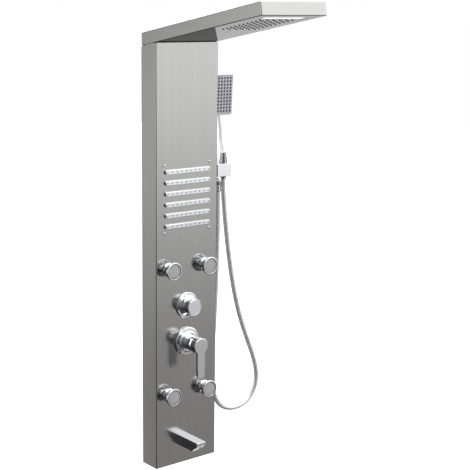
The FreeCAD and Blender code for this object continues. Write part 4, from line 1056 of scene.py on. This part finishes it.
overheadSettings = {
    "height": 1240.0, "tilt": 10.0, "reach": 527.0, "width": 220.0, "thick": 36.0, "sheet": 1.5, "fold": 2.4,
    "plateStart": 74.0, "plate": 1.5, "slotStart": 464.0, "slotEnd": 500.0, "slotLength": 144.0,
    "slotCorner": 3.0, "lipIn": 0.7, "lipThick": 1.2, "lipPlay": 0.3, "lipRound": 0.2, "slit": 5.0,
    "bevel": 0.4, "rearFrom": -30.0, "flatFrom": 0.5, "plateCorner": 1.2, "sealCorner": 2.0,
    "sealInnerCorner": 1.0,
    "sealStart": 4.0, "sealEnd": 66.0, "sealDeep": 4.0, "sealTop": 0.4, "sealIn": 1.8, "sealWide": 5.0,
    "fieldStart": 303.0, "rows": 10, "columns": 6, "rowPitch": 16.9, "columnPitch": 21.8, "tipRadius": 2.8,
    "tipOut": 1.6,
}


def onSlope():  # +Y of the form points to the wall, +Z away from the floor
    size = Sizes(**overheadSettings)
    return Matrix.Translation((0, 0, size.height * mm)) @ Matrix.Rotation(radians(-size.tilt), 4, "X")


def slopeOutline(width, start, end, corner):
    return [(x, y - (start + end) / 2) for x, y in boxOutline(width, end - start, corner)]


def makeOverheadShell():
    size = Sizes(**overheadSettings)
    fold, sheet, thick = size.fold, size.sheet, size.thick
    plan = slopeOutline(size.width, 0, size.reach, fold)
    levels = [(thick - sheet, sheet), (sheet, sheet), *roundedFoot(0, fold), (fold + size.flatFrom, 0),
              (thick - fold - size.flatFrom, 0), *roundedTop(thick, fold)]
    vertices, faces = loftedForm(ringsAt(plan, levels))
    lean = tan(radians(size.tilt))
    # the rear end is upright
    vertices = [(x, y - z * lean if y > size.rearFrom else y, z) for x, y, z in vertices]
    addForm("overheadShell", (vertices, faces), onSlope(),
            "brushed_panel", "root", "overhead_shell", finish="brushed_overhead")


def makeSprayPlate():
    size = Sizes(**overheadSettings)
    outer = slopeOutline(size.width - 2 * size.sheet, size.plateStart, size.reach - size.sheet,
                         size.plateCorner)
    slot = slopeOutline(size.slotLength, size.slotStart, size.slotEnd, size.slotCorner)
    plate = frameForm(outer, slot, 0, size.plate, size.bevel)
    addForm("sprayPlate", plate, onSlope(), "polished_plate", "root", "overhead_spray_plate")

    play, low = size.lipPlay, size.lipIn
    plan = slopeOutline(size.slotLength - 2 * play, size.slotStart + play, size.slotEnd - size.slit,
                        size.slotCorner - play)
    lip = slabForm(plan, low, low + size.lipThick, size.lipRound, size.lipRound)
    addForm("waterfallLip", lip, onSlope(), "chrome", "root")


def makeRainTips():
    size = Sizes(**overheadSettings)
    middle = -size.fieldStart - size.rowPitch * (size.rows - 1) / 2
    tips = grownField("rainTips", tipForm(size.tipRadius, size.tipOut), "dark_rubber", size.columns,
                      size.rows, size.columnPitch, size.rowPitch)
    tips.transform(onSlope() @ Matrix.Translation((0, middle * mm, 0)) @ Matrix.Rotation(pi, 4, "X"))
    addPiece("rainTips", tips, "dark_rubber", "root", "rain_nozzles")


def makeGapShadeStrip():  # a near-black strip set back from the edges of the open joint between the column and the overhead: painted shade in the joint
    size = Sizes(**overheadSettings)
    width = size.width - 2 * size.sealIn
    outer = slopeOutline(width, size.sealStart, size.sealEnd, size.sealCorner)
    inner = slopeOutline(width - 2 * size.sealWide, size.sealStart + size.sealWide,
                         size.sealEnd - size.sealWide, size.sealInnerCorner)
    seal = frameForm(outer, inner, -size.sealDeep, size.sealTop)
    # the strip's near-black rubber finish stands in for the shade in the joint: painted shade
    addForm("gapSeal", seal, onSlope(), "dark_rubber", "root")


makeOverheadShell()
makeSprayPlate()
makeRainTips()
makeGapShadeStrip()
print("overhead made")


# Studio: a pale floor, a sky that brightens upwards with light and dark patches on it, and two soft
# lights. The patches are there for the reflections in the metal.

studioSettings = {
    "floorZ": -0.85, "floorSize": 30.0,
    # height of the direction on the sky, its brightness and its warmth
    "sky": [(-1.0, 0.07, 0.03), (-0.52, 0.082, 0.03), (-0.44, 0.305, 0.03), (-0.398, 0.363, 0.03),
            (-0.363, 0.386, 0.03), (-0.289, 0.433, 0.015), (-0.249, 0.56, 0.005), (-0.21, 0.655, 0.0),
            (-0.13, 0.98, 0.0), (-0.09, 1.135, 0.0), (-0.043, 1.25, 0.0), (0.1, 1.31, 0.0), (0.22, 1.62, 0.0),
            (1.0, 1.8, 0.0)],
    "skyTop": 2.0,
    # patches of the sky: direction, cosines where a patch starts and is full, its share and brightness
    "patches": {
        "cameraSide": ((-0.63, -0.77, 0.0), 0.45, 0.85, 0.89, 0.03),
        "leftBack": ((-0.168, 0.951, 0.259), 0.7035, 0.9976, 0.95, 0.03),
        "lowSide": ((-0.54, 0.77, -0.34), 0.94, 0.99, 0.35, 0.75),
        "lowLeft": ((-0.687, 0.641, -0.342), 0.9803, 0.9877, 0.82, 0.03),
        "rightCard": ((0.95, -0.2, -0.25), 0.913, 0.956, 0.92, 0.04),
        "backdrop": ((0.61, 0.749, -0.259), 0.8, 0.88, 1.0, 1.15),
    },
}


def makeFloor():
    size = Sizes(**studioSettings)
    half = size.floorSize / 2
    level = size.floorZ
    mesh = bpy.data.meshes.new("floor")
    mesh.from_pydata([(-half, -half, level), (half, -half, level), (half, half, level), (-half, half, level)],
                     [], [(0, 1, 2, 3)])
    mesh.materials.append(newFinish("paleFloor", (0.93, 0.93, 0.93), 0.0, 0.9, 0.1))
    floor = newObject("floor", mesh)
    floor.visible_glossy = False


def makeSky():
    size = Sizes(**studioSettings)
    top = size.skyTop
    world = bpy.data.worlds.new("studioSky")
    bpy.context.scene.world = world
    world.use_nodes = True
    tree = world.node_tree
    nodes, links = tree.nodes, tree.links
    direction = addNode(tree, "ShaderNodeTexCoord").outputs["Generated"]
    split = addNode(tree, "ShaderNodeSeparateXYZ", Vector=direction)
    height = addNode(tree, "ShaderNodeMapRange", {"From Min": -1.0}, Value=split.outputs["Z"])
    ramp = addNode(tree, "ShaderNodeValToRGB", Fac=height.outputs["Result"])
    elements = ramp.color_ramp.elements
    for i, (z, light, warmth) in enumerate(size.sky):
        element = elements[i] if i < 2 else elements.new((z + 1) / 2)
        element.position = (z + 1) / 2
        share = light / top
        element.color = (share * (1 + warmth), share, share * (1 - warmth), 1)
    colour = ramp.outputs["Color"]
    for towards, start, full, amount, light in size.patches.values():
        dot = addNode(tree, "ShaderNodeVectorMath", {"operation": "DOT_PRODUCT"}, Vector=direction)
        dot.inputs[1].default_value = Vector(towards).normalized()
        share = addNode(tree, "ShaderNodeMapRange", {
            "interpolation_type": "SMOOTHSTEP", "From Min": start, "From Max": full, "To Min": 0.0,
            "To Max": amount}, Value=dot.outputs["Value"])
        mix = addNode(tree, "ShaderNodeMixRGB", {"Color2": (*[light / top] * 3, 1)},
                      Fac=share.outputs["Result"], Color1=colour)
        colour = mix.outputs["Color"]
    background = nodes["Background"]
    background.inputs["Strength"].default_value = top
    links.new(colour, background.inputs["Color"])
    # the camera sees a plain white wall in place of the sky, from any side
    wall = addNode(tree, "ShaderNodeBackground", {"Color": (1, 1, 1, 1)})
    path = addNode(tree, "ShaderNodeLightPath")
    either = addNode(tree, "ShaderNodeMixShader", Fac=path.outputs["Is Camera Ray"])
    links.new(background.outputs["Background"], either.inputs[1])
    links.new(wall.outputs["Background"], either.inputs[2])
    links.new(either.outputs["Shader"], nodes["World Output"].inputs["Surface"])


lightSettings = [
    # name, place, target, width, height, watts
    ("floorWash", (0.0, -1.0, 5.5), (0.0, 0.0, -0.85), 7.0, 7.0, 260.0),
    ("rearSoft", (1.5, 3.5, 2.4), (0.0, 0.0, 0.6), 2.0, 2.0, 40.0),
]


def makeLights():
    for name, place, target, width, height, watts in lightSettings:
        data = bpy.data.lights.new(name, "AREA")
        data.shape = "RECTANGLE"
        data.size, data.size_y = width, height
        data.energy = watts
        lamp = newObject(name, data)
        lamp.location = place
        lamp.rotation_euler = (Vector(target) - Vector(place)).to_track_quat("-Z", "Y").to_euler()


makeFloor()
makeSky()
makeLights()
bpy.context.scene.view_settings.view_transform = "Standard"
print("studio made")
